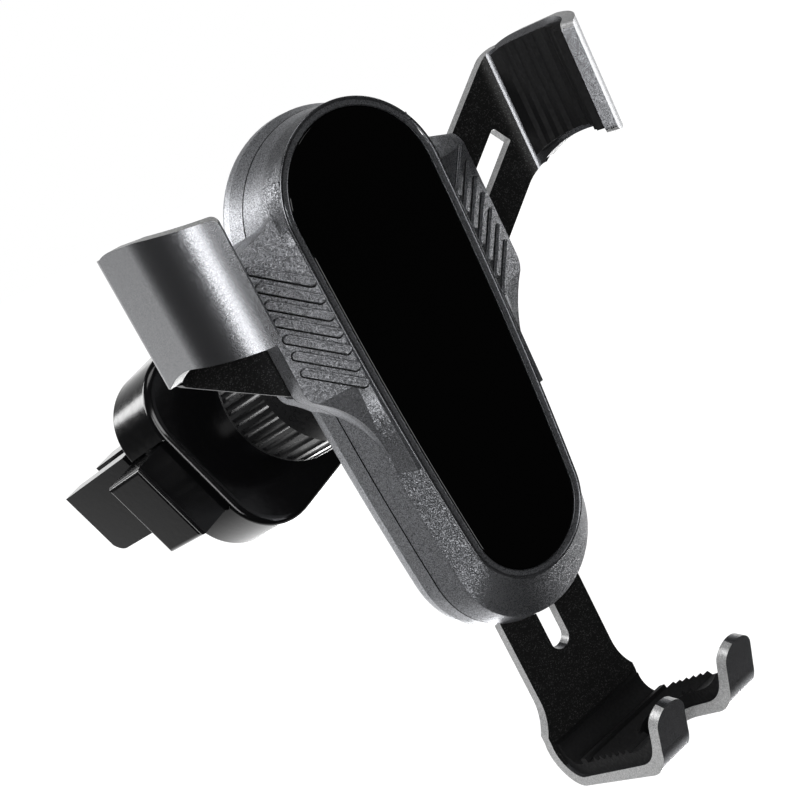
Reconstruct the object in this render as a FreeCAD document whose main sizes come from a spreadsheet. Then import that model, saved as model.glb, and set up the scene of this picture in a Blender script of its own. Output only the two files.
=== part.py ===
import FreeCAD
import Part
import math
import os

import Sketcher
from FreeCAD import Placement, Rotation, Vector

# An air vent phone holder. X points right and +Z up along the body, and -Y points at
# the phone. The origin lies on the phone's rest face, on the plane of symmetry.

doc = FreeCAD.newDocument("VentPhoneHolder")
sheet = doc.addObject("Spreadsheet::Sheet", "Sizes")


class Size:
    """A dimension that carries its number and its expression in the sheet."""

    def __init__(self, value, text):
        self.value = value
        self.text = text

    def __float__(self):
        return float(self.value)

    def __neg__(self):
        return Size(-self.value, "-(%s)" % self.text)

    def __add__(self, other):
        return Size(self.value + float(other), "(%s + %s)" % (self.text, text_of(other)))

    def __radd__(self, other):
        return Size(self.value + float(other), "(%s + %s)" % (text_of(other), self.text))

    def __sub__(self, other):
        return Size(self.value - float(other), "(%s - %s)" % (self.text, text_of(other)))

    def __rsub__(self, other):
        return Size(float(other) - self.value, "(%s - %s)" % (text_of(other), self.text))

    def __mul__(self, other):
        return Size(self.value * float(other), "(%s * %s)" % (self.text, text_of(other)))

    def __rmul__(self, other):
        return self * other

    def __truediv__(self, other):
        return Size(self.value / float(other), "(%s / %s)" % (self.text, text_of(other)))


def text_of(number):
    return number.text if isinstance(number, Size) else "%.6f" % number


rows = []


def size(alias, value, note):
    """Put one driving dimension in the sheet and return it."""
    row = len(rows) + 2
    sheet.set("A%d" % row, alias)
    sheet.set("B%d" % row, "%g" % value)
    sheet.set("C%d" % row, note)
    sheet.setAlias("B%d" % row, alias)
    rows.append(alias)
    return Size(value, "Sizes.%s" % alias)


# Driving dimensions, millimetres and degrees
sheet.set("A1", "name")
sheet.set("B1", "value")
sheet.set("C1", "meaning")

panel_top_z = size("panel_top_z", 34.86, "centre height of the panel's top arc")
panel_top_r = size("panel_top_r", 13.2, "radius of the panel's top arc")
panel_low_z = size("panel_low_z", -21.33, "centre height of the panel's bottom arc")
panel_low_r = size("panel_low_r", 10.6, "radius of the panel's bottom arc")
panel_side_r = size("panel_side_r", 670, "radius of the panel's long sides")
panel_thick = size("panel_thick", 1.3, "thickness of the panel")
panel_gap = size("panel_gap", 0.1, "gap around the panel in its seat")
rim_width = size("rim_width", 0.9, "width of the rim around the panel")
ridge_y = size("ridge_y", 4.6, "depth of the bezel's ridge behind the panel face")
ridge_top_z = size("ridge_top_z", 33.3, "centre height of the ridge's top arc")
ridge_top_r = size("ridge_top_r", 16.0, "radius of the ridge's top arc")
ridge_low_z = size("ridge_low_z", -27.0, "centre height of the ridge's bottom arc")
ridge_low_r = size("ridge_low_r", 14.1, "radius of the ridge's bottom arc")
seam_y = size("seam_y", 9.0, "depth of the joint between the shells")
seam_top_z = size("seam_top_z", 31.8, "centre height of the shell's top arc at the joint")
seam_top_r = size("seam_top_r", 18.0, "radius of the shell's top arc at the joint")
seam_low_z = size("seam_low_z", -26.5, "centre height of the shell's bottom arc")
seam_low_r = size("seam_low_r", 16.3, "radius of the shell's bottom arc")
back_y = size("back_y", 17.0, "depth of the shell's flat back")
back_bulge = size("back_bulge", 0.9, "swell of the rear shell behind the joint")
back_round = size("back_round", 3.0, "rounding around the shell's back")
wing_x = size("wing_x", 22.9, "half width over the wings")
wing_top_z = size("wing_top_z", 36.0, "top of the wings")
wing_low_z = size("wing_low_z", 11.6, "lower corner of the wings")
wing_root_x = size("wing_root_x", 14.35, "where the wing's face leaves the rim")
wing_root_y = size("wing_root_y", 0.35, "depth of the wing's face at the rim")
wing_drop = size("wing_drop", 0.47, "fall of the wing's face per unit of width")
bar_count = size("bar_count", 7, "raised bars on each wing")
bar_pitch = size("bar_pitch", 2.87, "spacing of the raised bars")
bar_low_z = size("bar_low_z", 10.3, "height of the lowest bar's inner end")
bar_rise = size("bar_rise", 5.6, "rise of a bar over its run")
bar_half = size("bar_half", 0.5, "half width of a raised bar")
bar_high = size("bar_high", 0.6, "height of a raised bar")

slide_angle = size("slide_angle", 35, "angle of the arms' slide above the horizontal")
plate_y = size("plate_y", 9.25, "front face of the sliding plates")
arm_thick = size("arm_thick", 2.0, "thickness of the arm plates")
arm_half = size("arm_half", 8.65, "half width of the arm strip")
arm_end_x = size("arm_end_x", 11.0, "inner end of the arm strip")
arm_mid_x = size("arm_mid_x", 30.0, "reference point on the arm's middle line")
arm_mid_z = size("arm_mid_z", 28.2, "height of the middle line at the reference point")
arm_slot_half = size("arm_slot_half", 2.05, "half width of the arm's slot")
arm_slot_out = size("arm_slot_out", 34.0, "outer end of the arm's slot")
guide_x = size("guide_x", 19.0, "place of the arm's guide peg")
guide_r = size("guide_r", 1.8, "radius of the guide pegs")
pin_x = size("pin_x", 13.2, "place of the drive pin on the arm")
pin_r = size("pin_r", 1.6, "radius of the drive pin")
slide_gap = size("slide_gap", 0.25, "running gap of the slides")
claw_x = size("claw_x", 40.0, "outer face of the claw's wall")
claw_bend = size("claw_bend", 5.0, "outer radius of the claw's back bend")
claw_wall_y = size("claw_wall_y", -7.0, "depth at which the claw's wall starts to curve inward")
claw_curve = size("claw_curve", 15.0, "outer radius of the claw's inward curve")
claw_sweep = size("claw_sweep", 60, "angle of the claw's inward curve")
claw_top_z = size("claw_top_z", 45.3, "top of the claw")
claw_low_z = size("claw_low_z", 25.5, "bottom of the claw at its lip")
claw_pad_thick = size("claw_pad_thick", 1.5, "thickness of the claw's pad")
pad_rib = size("pad_rib", 0.6, "height of the ribs on the pads")

foot_half = size("foot_half", 9.1, "half width of the foot's strip")
foot_wide = size("foot_wide", 11.0, "half width of the foot's floor")
foot_thick = size("foot_thick", 2.2, "thickness of the foot plate")
foot_top_z = size("foot_top_z", -4.0, "upper end of the foot plate")
foot_slot_half = size("foot_slot_half", 2.0, "half width of the foot's slot")
foot_slot_top = size("foot_slot_top", -26.0, "upper end of the foot's slot")
foot_slot_low = size("foot_slot_low", -51.5, "lower end of the foot's slot")
foot_travel = size("foot_travel", 7.0, "travel of the foot")
foot_peg_z = size("foot_peg_z", -36.0, "height of the foot's guide peg")
hook_gap_half = size("hook_gap_half", 5.0, "half width of the gap between the hooks")
hook_gap_y = size("hook_gap_y", -6.5, "depth at which the gap between the hooks ends")

link_thick = size("link_thick", 1.2, "thickness of the cross link")
link_half = size("link_half", 3.0, "half height of the link's cross bar")

ball_y = size("ball_y", 27.0, "depth of the ball's centre")
ball_z = size("ball_z", 10.8, "height of the ball's centre")
ball_r = size("ball_r", 8.5, "radius of the ball")
stem_r = size("stem_r", 3.5, "radius of the ball's stem")
flange_r = size("flange_r", 9.0, "radius of the stud's flange")
clip_yaw = size("clip_yaw", 14.6, "swing of the clip to the side, degrees")
clip_drop = size("clip_drop", 12.6, "tilt of the clip, degrees")
clip_roll = size("clip_roll", 9.8, "turn of the clip about its own axis, degrees")
nut_front = size("nut_front", -5.0, "front of the lock nut from the ball's centre")
nut_back = size("nut_back", 25.5, "back of the lock nut")
nut_front_r = size("nut_front_r", 10.2, "radius of the nut's front")
nut_r = size("nut_r", 14.6, "radius of the nut over its ribs")
nut_flutes = size("nut_flutes", 36, "flutes around the nut")
boss_r = size("boss_r", 10.0, "radius of the clip's socket")
clip_front = size("clip_front", 34.0, "front face of the clip from the ball's centre")
clip_deep = size("clip_deep", 16.2, "depth of the clip housing with its cover")
cover_thick = size("cover_thick", 1.6, "thickness of the clip's back cover")
clip_half = size("clip_half", 20.6, "half width of the clip housing")
clip_corner = size("clip_corner", 12.0, "corner radius of the clip housing")
clip_round = size("clip_round", 1.6, "rounding around the clip's front face")
tab_out = size("tab_out", 28.2, "outer face of the press tab")
tab_half = size("tab_half", 8.6, "half height of the press tab")
jaw_back = size("jaw_back", 82.0, "tip of the jaws from the ball's centre")
jaw_top = size("jaw_top", 10.7, "top of the jaws")
jaw_low = size("jaw_low", -5.4, "bottom of the jaws")


def bind(thing, prop, value):
    """Set a property and, where the value comes from the sheet, tie it to its cells."""
    setattr(thing, prop, float(value))
    if isinstance(value, Size):
        thing.setExpression(prop, value.text)


def new_body(label):
    body = doc.addObject("PartDesign::Body", label)
    body.Label = label
    return body


def origin(body, role):
    for feature in body.Origin.OriginFeatures:
        if feature.Role == role:
            return feature


def new_sketch(body, role, offset=0.0):
    """A sketch on one of the body's own origin planes, offset along its normal."""
    sketch = body.newObject("Sketcher::SketchObject", body.Label + "_sketch")
    sketch.AttachmentSupport = (origin(body, role), [""])
    sketch.MapMode = "FlatFace"
    sketch.AttachmentOffset = Placement(Vector(0, 0, float(offset)), Rotation())
    if isinstance(offset, Size):
        sketch.setExpression("AttachmentOffset.Base.z", offset.text)
    return sketch


def front_sketch(body, y):
    """A sketch seen from the front, X across and Z up, at depth y."""
    return new_sketch(body, "XZ_Plane", -y if isinstance(y, Size) else -float(y))


def pin(sketch, geo, pos, x, y):
    """Fix a point of the sketch at x, y."""
    for kind, value, axis in (("DistanceX", x, -2), ("DistanceY", y, -1)):
        if abs(float(value)) < 1e-9:
            sketch.addConstraint(Sketcher.Constraint("PointOnObject", geo, pos, axis))
            continue
        if float(value) > 0:
            rule = Sketcher.Constraint(kind, -1, 1, geo, pos, float(value))
        else:
            rule = Sketcher.Constraint(kind, geo, pos, -1, 1, -float(value))
            value = -value
        index = sketch.addConstraint(rule)
        if isinstance(value, Size):
            sketch.setExpression("Constraints[%d]" % index, value.text)


def loop(sketch, corners):
    """Close a chain through the corners. A corner is x, y, and where an arc leads on
    to the next corner also a point that the arc goes through. Returns the constraints
    that place the arcs' centres."""
    count = len(corners)
    ends = []
    bows = []
    for i, corner in enumerate(corners):
        after = corners[(i + 1) % count]
        start = Vector(float(corner[0]), float(corner[1]), 0)
        end = Vector(float(after[0]), float(after[1]), 0)
        if len(corner) == 3:
            via = Vector(float(corner[2][0]), float(corner[2][1]), 0)
            geo = sketch.addGeometry(Part.Arc(start, via, end), False)
            bows.append((geo, end - start))
        else:
            geo = sketch.addGeometry(Part.LineSegment(start, end), False)
        turned = (sketch.getPoint(geo, 1) - start).Length > 1e-6
        ends.append((geo, 2, 1) if turned else (geo, 1, 2))
    for i in range(count):
        geo, start, end = ends[i]
        nxt = ends[(i + 1) % count]
        sketch.addConstraint(Sketcher.Constraint("Coincident", geo, end, nxt[0], nxt[1]))
        pin(sketch, geo, start, corners[i][0], corners[i][1])
    rules = []
    for geo, chord in bows:
        centre = sketch.getPoint(geo, 3)
        if abs(chord.y) > abs(chord.x):
            rule = Sketcher.Constraint("DistanceX", -1, 1, geo, 3, centre.x)
        else:
            rule = Sketcher.Constraint("DistanceY", -1, 1, geo, 3, centre.y)
        rules.append(sketch.addConstraint(rule))
    return rules


def mirrored(corners):
    """The same corners on the other side of the vertical axis."""
    return [(-c[0], c[1]) if len(c) == 2 else (-c[0], c[1], (-c[2][0], c[2][1])) for c in corners]


def disc(sketch, x, y, radius):
    centre = Vector(float(x), float(y), 0)
    geo = sketch.addGeometry(Part.Circle(centre, Vector(0, 0, 1), float(radius)), False)
    pin(sketch, geo, 3, x, y)
    index = sketch.addConstraint(Sketcher.Constraint("Radius", geo, float(radius)))
    if isinstance(radius, Size):
        sketch.setExpression("Constraints[%d]" % index, radius.text)


def oval(sketch, top_z, top_r, low_z, low_r, side_r):
    """An upright oval of four arcs that run into each other. The centres of its long
    sides lie level with each other, the side radius less the end radius away from the
    centres of both end arcs."""
    zt, rt, zl, rl, rs = [float(v) for v in (top_z, top_r, low_z, low_r, side_r)]
    names = {"zt": text_of(top_z), "rt": text_of(top_r), "zl": text_of(low_z), "rl": text_of(low_r),
             "rs": text_of(side_r)}
    mid_z = Size(
        (zt**2 - zl**2 - (rs - rt) ** 2 + (rs - rl) ** 2) / (2 * (zt - zl)),
        "(({zt}^2 - {zl}^2 - ({rs} - {rt})^2 + ({rs} - {rl})^2) / (2 * ({zt} - {zl})))".format(**names))
    mid_x = Size(
        math.sqrt((rs - rt) ** 2 - (zt - float(mid_z)) ** 2),
        "sqrt(({rs} - {rt})^2 - ({zt} - {mid})^2)".format(mid=mid_z.text, **names))
    top_x = mid_x * top_r / (side_r - top_r)
    low_x = mid_x * low_r / (side_r - low_r)
    shoulder = mid_z + (top_z - mid_z) * side_r / (side_r - top_r)
    heel = mid_z + (low_z - mid_z) * side_r / (side_r - low_r)
    half_z = (float(shoulder) + float(heel)) / 2
    half_x = math.sqrt(rs**2 - (half_z - float(mid_z)) ** 2) - float(mid_x)
    rules = loop(sketch, [
        (top_x, shoulder, (0.0, zt + rt)), (-top_x, shoulder, (-half_x, half_z)),
        (-low_x, heel, (0.0, zl - rl)), (low_x, heel, (half_x, half_z)),
    ])
    for rule, centre in zip(rules, (top_z, mid_x, low_z, -mid_x)):
        sketch.setExpression("Constraints[%d]" % rule, text_of(centre))


def pad(body, sketch, length, back=False):
    feature = body.newObject("PartDesign::Pad", body.Label + "_form")
    feature.Profile = sketch
    bind(feature, "Length", length)
    feature.Reversed = back
    finish_step(body)
    return feature


def pocket(body, sketch, length, back=False):
    """Cut away the sketch's outline. A cut that removes nothing is a mistake."""
    before = body.Shape.Volume
    feature = body.newObject("PartDesign::Pocket", body.Label + "_cut")
    feature.Profile = sketch
    bind(feature, "Length", length)
    feature.Reversed = back
    finish_step(body)
    if body.Shape.Volume > before - 1e-6:
        raise RuntimeError("a pocket of %s cuts nothing" % body.Label)
    return feature


def finish_step(body):
    doc.recompute()
    feature = body.Tip
    if "Invalid" in feature.State or "Error" in feature.State or feature.Shape.isNull():
        raise RuntimeError("%s: %s failed" % (body.Label, feature.Name))


def turned(label, corners, place=None):
    """A body turned about its own Y axis: each corner is radius, y."""
    body = new_body(label)
    sketch = new_sketch(body, "XY_Plane")
    loop(sketch, corners)
    feature = body.newObject("PartDesign::Revolution", label + "_turn")
    feature.Profile = sketch
    feature.ReferenceAxis = (sketch, ["V_Axis"])
    feature.Angle = 360
    if place is not None:
        body.Placement = place
    finish_step(body)
    return body


def edge_names(shape, test):
    return ["Edge%d" % (i + 1) for i, edge in enumerate(shape.Edges) if test(edge)]


def fillet(body, radius, test):
    base = body.Tip
    names = edge_names(base.Shape, test)
    feature = body.newObject("PartDesign::Fillet", body.Label + "_fillet")
    feature.Base = (base, names)
    bind(feature, "Radius", radius)
    finish_step(body)


def chamfer(body, width, test, depth=None):
    """Chamfer the edges, with an own depth along Y where one is given."""
    base = body.Tip
    names = edge_names(base.Shape, test)
    feature = body.newObject("PartDesign::Chamfer", body.Label + "_chamfer")
    feature.Base = (base, names)
    bind(feature, "Size", width)
    if depth is not None:
        feature.ChamferType = "Two distances"
        feature.Size2 = float(depth)
        feature.FlipDirection = True
    finish_step(body)


def at_depth(y):
    """A test for edges that lie in the plane at depth y."""
    level = float(y)
    return lambda edge: all(abs(v.Y - level) < 1e-4 for v in edge.Vertexes) and (
        abs(edge.CenterOfMass.y - level) < 1e-4
    )


def mirror_of(source, label):
    """The left-hand twin of a right-hand piece."""
    twin = doc.addObject("Part::Mirroring", label)
    twin.Label = label
    twin.Source = source
    twin.Normal = Vector(1, 0, 0)
    twin.Base = Vector(0, 0, 0)
    doc.recompute()
    return twin


def along(distance_x):
    """Height of the arm's middle line at a distance from the plane of symmetry."""
    tangent = math.tan(math.radians(float(slide_angle)))
    value = float(arm_mid_z) + (float(distance_x) - float(arm_mid_x)) * tangent
    rule = "(%s + (%s - %s) * tan(%s * 1deg))" % (
        arm_mid_z.text, text_of(distance_x), arm_mid_x.text, slide_angle.text)
    return Size(value, rule)


def strip(x_from, x_to, half):
    """Corners of a band of the given half width along the arm's slide."""
    slope = math.cos(math.radians(float(slide_angle)))
    rise = Size(float(half) / slope, "(%s / cos(%s * 1deg))" % (text_of(half), slide_angle.text))
    return [(x_from, along(x_from) - rise), (x_to, along(x_to) - rise),
            (x_to, along(x_to) + rise), (x_from, along(x_from) + rise)]


def square_band(x_from, x_to, half):
    """Corners of a band along the arm's slide whose ends are square to it."""
    sine = math.sin(math.radians(float(slide_angle)))
    cosine = math.cos(math.radians(float(slide_angle)))
    over = Size(float(half) * sine, "(%s * sin(%s * 1deg))" % (text_of(half), slide_angle.text))
    up = Size(float(half) * cosine, "(%s * cos(%s * 1deg))" % (text_of(half), slide_angle.text))
    return [(x_from + over, along(x_from) - up), (x_to + over, along(x_to) - up),
            (x_to - over, along(x_to) + up), (x_from - over, along(x_from) + up)]


def plain(x, y):
    """A point of an outline whose numbers are its own."""
    return (Size(x, "%.4f" % x), Size(y, "%.4f" % y))


nodes = []


def keep(*things):
    nodes.extend(things)


# Front panel, a flat plate with a small chamfer, let into the rim
front_panel = new_body("front_panel")
face = front_sketch(front_panel, 0.0)
oval(face, panel_top_z, panel_top_r - panel_gap, panel_low_z, panel_low_r - panel_gap, panel_side_r)
pad(front_panel, face, panel_thick, back=True)
chamfer(front_panel, 0.25, at_depth(0.0))
keep(front_panel)

# Front shell: rim, steep bezel with a ridge, and the side wall down to the joint
front_shell = new_body("front_shell")
rim = front_sketch(front_shell, 0.0)
oval(rim, panel_top_z, panel_top_r + rim_width, panel_low_z, panel_low_r + rim_width, panel_side_r)
ridge = front_sketch(front_shell, ridge_y)
oval(ridge, ridge_top_z, ridge_top_r, ridge_low_z, ridge_low_r, panel_side_r)
joint = front_sketch(front_shell, seam_y)
oval(joint, seam_top_z, seam_top_r, seam_low_z, seam_low_r, panel_side_r)
bezel = front_shell.newObject("PartDesign::AdditiveLoft", "front_shell_bezel")
bezel.Profile = rim
bezel.Sections = [ridge, joint]
bezel.Ruled = True
finish_step(front_shell)


def wing_corners():
    """Outline of the right wing, from the body's top shoulder to its waist."""
    return [
        (Size(10.0, "10"), wing_top_z + 6.6),
        (wing_x - 9.8, wing_top_z + 6.6, (wing_x - 8.4, wing_top_z + 3.1)),
        (wing_x - 6.2, wing_top_z + 1.2),
        (wing_x - 1.6, wing_top_z - 0.1, (wing_x - 0.5, wing_top_z - 0.6)),
        (wing_x, wing_top_z - 1.9),
        (wing_x, wing_low_z + 1.6, (wing_x - 0.3, wing_low_z + 0.1)),
        (wing_x - 1.3, wing_low_z - 1.2, (wing_x - 3.9, wing_low_z - 3.9)),
        (wing_x - 6.3, wing_low_z - 8.3, (wing_x - 7.3, wing_low_z - 12.2)),
        (wing_x - 7.7, wing_low_z - 17.6),
        (Size(10.0, "10"), wing_low_z - 17.6),
    ]


wings = front_sketch(front_shell, 0.0)
loop(wings, wing_corners())
loop(wings, mirrored(wing_corners()))
pad(front_shell, wings, seam_y, back=True)

# The wings' faces fall back from the rim
slopes = new_sketch(front_shell, "XY_Plane", panel_top_z + panel_top_r)
far_x = wing_x + 6.0
fall = [
    (wing_root_x, Size(-1.0, "-1")),
    (far_x, Size(-1.0, "-1")),
    (far_x, wing_root_y + (far_x - wing_root_x) * wing_drop),
    (wing_root_x, wing_root_y),
]
loop(slopes, fall)
loop(slopes, mirrored(fall))
pocket(front_shell, slopes, panel_top_z + panel_top_r - panel_low_z)


def face_section(rim_x, rim_y, edge_x, edge_y, z):
    """What lies in front of the wing's face at height z, as a sketch."""
    section = new_sketch(front_shell, "XY_Plane", z)
    outside = Size(-1.0, "-1")
    shape = [(rim_x, outside), (far_x, outside), (far_x, edge_y + (far_x - edge_x) * wing_drop),
             (edge_x, edge_y), (rim_x, rim_y)]
    return section, shape


# The wings' faces turn into the bezel below and above
run_out = [
    ((wing_root_x, wing_root_y, wing_root_x + 1.6, wing_root_y + 1.6 * wing_drop, wing_low_z - 1.0),
     (wing_root_x - 0.45, wing_root_y - 0.2, wing_root_x + 0.8, ridge_y, wing_low_z - 18.0)),
    ((wing_root_x, wing_root_y, wing_root_x + 1.6, wing_root_y + 1.6 * wing_drop, wing_top_z - 2.5),
     (wing_root_x - 1.8, wing_root_y - 0.1, wing_root_x - 0.9, ridge_y, wing_top_z + 6.8)),
]
for start, end in run_out:
    for hand in (1, -1):
        first, first_shape = face_section(*start)
        second, second_shape = face_section(*end)
        loop(first, first_shape if hand > 0 else mirrored(first_shape))
        loop(second, second_shape if hand > 0 else mirrored(second_shape))
        before = front_shell.Shape.Volume
        blend = front_shell.newObject("PartDesign::SubtractiveLoft", "front_shell_blend")
        blend.Profile = first
        blend.Sections = [second]
        blend.Ruled = True
        finish_step(front_shell)
        if front_shell.Shape.Volume > before - 1e-6:
            raise RuntimeError("the wings' faces run out into nothing")

# Raised bars across each wing, from low beside the rim to high at the outer edge
for side in (1, -1):
    tilt = Vector(side * float(wing_drop), -1, 0).normalize()
    flat = None
    for number, plane in enumerate(front_shell.Shape.Faces):
        if plane.Surface.TypeId == "Part::GeomPlane" and plane.CenterOfMass.x * side > 0:
            if plane.normalAt(0, 0).getAngle(tilt) < 0.01:
                flat = "Face%d" % (number + 1)
    bars = front_shell.newObject("Sketcher::SketchObject", "front_shell_bars")
    bars.AttachmentSupport = (front_shell.Tip, [flat])
    bars.MapMode = "FlatFace"
    doc.recompute()
    to_plane = bars.Placement.inverse()
    inner_x = float(wing_root_x) + 0.6
    outer_x = float(wing_x) - 1.5
    for number in range(int(float(bar_count))):
        low_z = float(bar_low_z) + number * float(bar_pitch)
        inner = Vector(side * inner_x, float(wing_root_y) + 0.6 * float(wing_drop), low_z)
        outer = Vector(side * outer_x, inner.y + (outer_x - inner_x) * float(wing_drop),
                       low_z + float(bar_rise))
        a = to_plane.multVec(inner)
        b = to_plane.multVec(outer)
        run = Vector(b.x - a.x, b.y - a.y, 0).normalize()
        across = Vector(-run.y, run.x, 0) * float(bar_half)
        a, b = Vector(a.x, a.y, 0), Vector(b.x, b.y, 0)
        tip = run * float(bar_half)
        loop(bars, [
            ((a + across).x, (a + across).y),
            ((b + across).x, (b + across).y, ((b + tip).x, (b + tip).y)),
            ((b - across).x, (b - across).y),
            ((a - across).x, (a - across).y, ((a - tip).x, (a - tip).y)),
        ])
    pad(front_shell, bars, bar_high)

# Seat of the panel in the front shell
seat = front_sketch(front_shell, -0.5)
oval(seat, panel_top_z, panel_top_r, panel_low_z, panel_low_r, panel_side_r)
pocket(front_shell, seat, panel_thick + 0.5)

# Screw holes in the front shell
screw_places = [(Size(9.0, "9"), Size(36.0, "36")), (Size(12.7, "12.7"), Size(-20.0, "-20"))]
screw_r = size("screw_r", 1.1, "radius of the shell screws")
holes = front_sketch(front_shell, 4.2)
for x, z in screw_places:
    disc(holes, x, z, screw_r + 0.05)
    disc(holes, -x, z, screw_r + 0.05)
pocket(front_shell, holes, seam_y - 4.2 + 1.0)
keep(front_shell)

# Rear shell: the same outline behind the joint, with a rounded back
rear_shell = new_body("rear_shell")
hull = front_sketch(rear_shell, seam_y)
oval(hull, seam_top_z, seam_top_r + back_bulge, seam_low_z, seam_low_r + back_bulge, panel_side_r)
pad(rear_shell, hull, back_y - seam_y, back=True)
chamfer(rear_shell, back_bulge, at_depth(seam_y), 3.2)
fillet(rear_shell, back_round, at_depth(back_y))
rear_wings = front_sketch(rear_shell, seam_y)
loop(rear_wings, wing_corners())
loop(rear_wings, mirrored(wing_corners()))
pad(rear_shell, rear_wings, 5.4, back=True)
doc.recompute()

# Channels of the two arms, open at the wings' edges
channels = front_sketch(rear_shell, seam_y)
right_band = strip(Size(0.5, "0.5"), far_x, arm_half + slide_gap + 0.1)
loop(channels, right_band)
pocket(rear_shell, channels, plate_y + arm_thick + slide_gap - seam_y)
left_channel = front_sketch(rear_shell, seam_y)
loop(left_channel, mirrored(right_band))
pocket(rear_shell, left_channel, plate_y + arm_thick + slide_gap - seam_y)

# Channel of the foot, open below
foot_path = front_sketch(rear_shell, seam_y)
below = seam_low_z - seam_low_r - 2.0
loop(foot_path, [
    (-(foot_half + slide_gap + 0.1), below), (foot_half + slide_gap + 0.1, below),
    (foot_half + slide_gap + 0.1, foot_top_z + 0.6), (-(foot_half + slide_gap + 0.1), foot_top_z + 0.6),
])
pocket(rear_shell, foot_path, plate_y + foot_thick + slide_gap - seam_y)

# Room for the cross link over its travel
pin_z = along(pin_x)
link_y = plate_y + foot_thick
link_room = front_sketch(rear_shell, seam_y)
bar_end = pin_x + pin_r + 1.6
link_foot = Size(7.0, "7")
room = 0.4
loop(link_room, [
    (bar_end + room, pin_z + link_half + room), (Size(3.2, "3.2"), pin_z + link_half + room),
    (Size(3.2, "3.2"), pin_z + 8.4), (Size(-3.2, "-3.2"), pin_z + 8.4),
    (Size(-3.2, "-3.2"), pin_z + link_half + room), (-(bar_end + room), pin_z + link_half + room),
    (-(bar_end + room), pin_z - link_half - foot_travel - room),
    (-(link_foot + room), pin_z - link_half - foot_travel - room),
    (-(link_foot + room), foot_top_z - 10.0 - foot_travel - room),
    (link_foot + room, foot_top_z - 10.0 - foot_travel - room),
    (link_foot + room, pin_z - link_half - foot_travel - room),
    (bar_end + room, pin_z - link_half - foot_travel - room),
])
pocket(rear_shell, link_room, link_y + link_thick + slide_gap + 0.05 - seam_y)

# Room for the return spring
spring_top = size("spring_top", 39.5, "height of the return spring's post")
spring_r = size("spring_r", 1.7, "radius of the return spring")
spring_room = front_sketch(rear_shell, seam_y)
loop(spring_room, [
    (spring_r + 0.9, pin_z + 6.8), (spring_r + 0.9, spring_top + 1.8),
    (-(spring_r + 0.9), spring_top + 1.8), (-(spring_r + 0.9), pin_z + 6.8),
])
pocket(rear_shell, spring_room, 5.6)

# Pegs that guide the plates and the post of the spring
pegs = front_sketch(rear_shell, seam_y + 0.05)
disc(pegs, guide_x, along(guide_x), guide_r)
disc(pegs, -guide_x, along(guide_x), guide_r)
disc(pegs, 0.0, foot_peg_z, guide_r - 0.1)
disc(pegs, 0.0, spring_top, Size(1.0, "1"))
pad(rear_shell, pegs, 5.8, back=True)

# Recess of the ball stud's flange, its screw hole and the shell screws' holes
stud_seat = front_sketch(rear_shell, 15.6)
disc(stud_seat, 0.0, ball_z, flange_r + 0.05)
pocket(rear_shell, stud_seat, back_y - 15.6 + 0.5)
stud_bore = front_sketch(rear_shell, seam_y)
disc(stud_bore, 0.0, ball_z, Size(1.6, "1.6"))
pocket(rear_shell, stud_bore, 8.0)
head_seat = front_sketch(rear_shell, seam_y)
disc(head_seat, 0.0, ball_z, Size(3.9, "3.9"))
pocket(rear_shell, head_seat, 14.3 - seam_y)
shank_holes = front_sketch(rear_shell, seam_y - 0.5)
head_holes = front_sketch(rear_shell, 14.2)
for x, z in screw_places:
    for side_x in (x, -x):
        disc(shank_holes, side_x, z, screw_r + 0.05)
        disc(head_holes, side_x, z, screw_r * 2 + 0.15)
pocket(rear_shell, shank_holes, 7.0)
pocket(rear_shell, head_holes, 5.0)
keep(rear_shell)

# Shell screws, driven from the back
screw_names = ["upper", "lower"]
for (x, z), name in zip(screw_places, screw_names):
    for side, word in ((1, "right"), (-1, "left")):
        screw = turned("shell_screw_%s_%s" % (name, word), [
            (0, 4.6), (screw_r, 4.6), (screw_r, 14.2), (screw_r * 2, 14.2),
            (screw_r * 2, 15.5), (1.2, 15.9), (0, 15.9),
        ], Placement(Vector(side * float(x), 0, float(z)), Rotation()))
        keep(screw)

# Right arm: a plate that bends forward into the claw's wall and curves inward to its lip
right_arm = new_body("right_arm")
claw = new_sketch(right_arm, "XY_Plane", claw_top_z + 2.0)
plate_back = plate_y + arm_thick
bend_y = plate_back - claw_bend
wall_in = claw_x - arm_thick
turn = math.sqrt(0.5)
curve_x = claw_x - claw_curve


def on_curve(radius, share):
    """A point on the claw's inward curve, at a share of its sweep."""
    angle = math.radians(float(claw_sweep)) * share
    rule = "%s * %g * 1deg" % (claw_sweep.text, share)
    return (
        Size(float(curve_x) + float(radius) * math.cos(angle),
             "(%s + %s * cos(%s))" % (curve_x.text, text_of(radius), rule)),
        Size(float(claw_wall_y) - float(radius) * math.sin(angle),
             "(%s - %s * sin(%s))" % (claw_wall_y.text, text_of(radius), rule)),
    )


claw_in_r = claw_curve - arm_thick
bend_in_r = claw_bend - arm_thick
lip_in = on_curve(claw_in_r, 1.0)
lip_out = on_curve(claw_curve, 1.0)
loop(claw, [
    (arm_end_x, plate_y),
    (claw_x - claw_bend, plate_y, (claw_x - claw_bend + bend_in_r * turn, bend_y + bend_in_r * turn)),
    (wall_in, bend_y),
    (wall_in, claw_wall_y, on_curve(claw_in_r, 0.5)),
    lip_in,
    (lip_out[0], lip_out[1], on_curve(claw_curve, 0.5)),
    (claw_x, claw_wall_y),
    (claw_x, bend_y, (claw_x - claw_bend + claw_bend * turn, bend_y + claw_bend * turn)),
    (claw_x - claw_bend, plate_back),
    (arm_end_x, plate_back),
])
pad(right_arm, claw, claw_top_z + 4.0, back=True)

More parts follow.
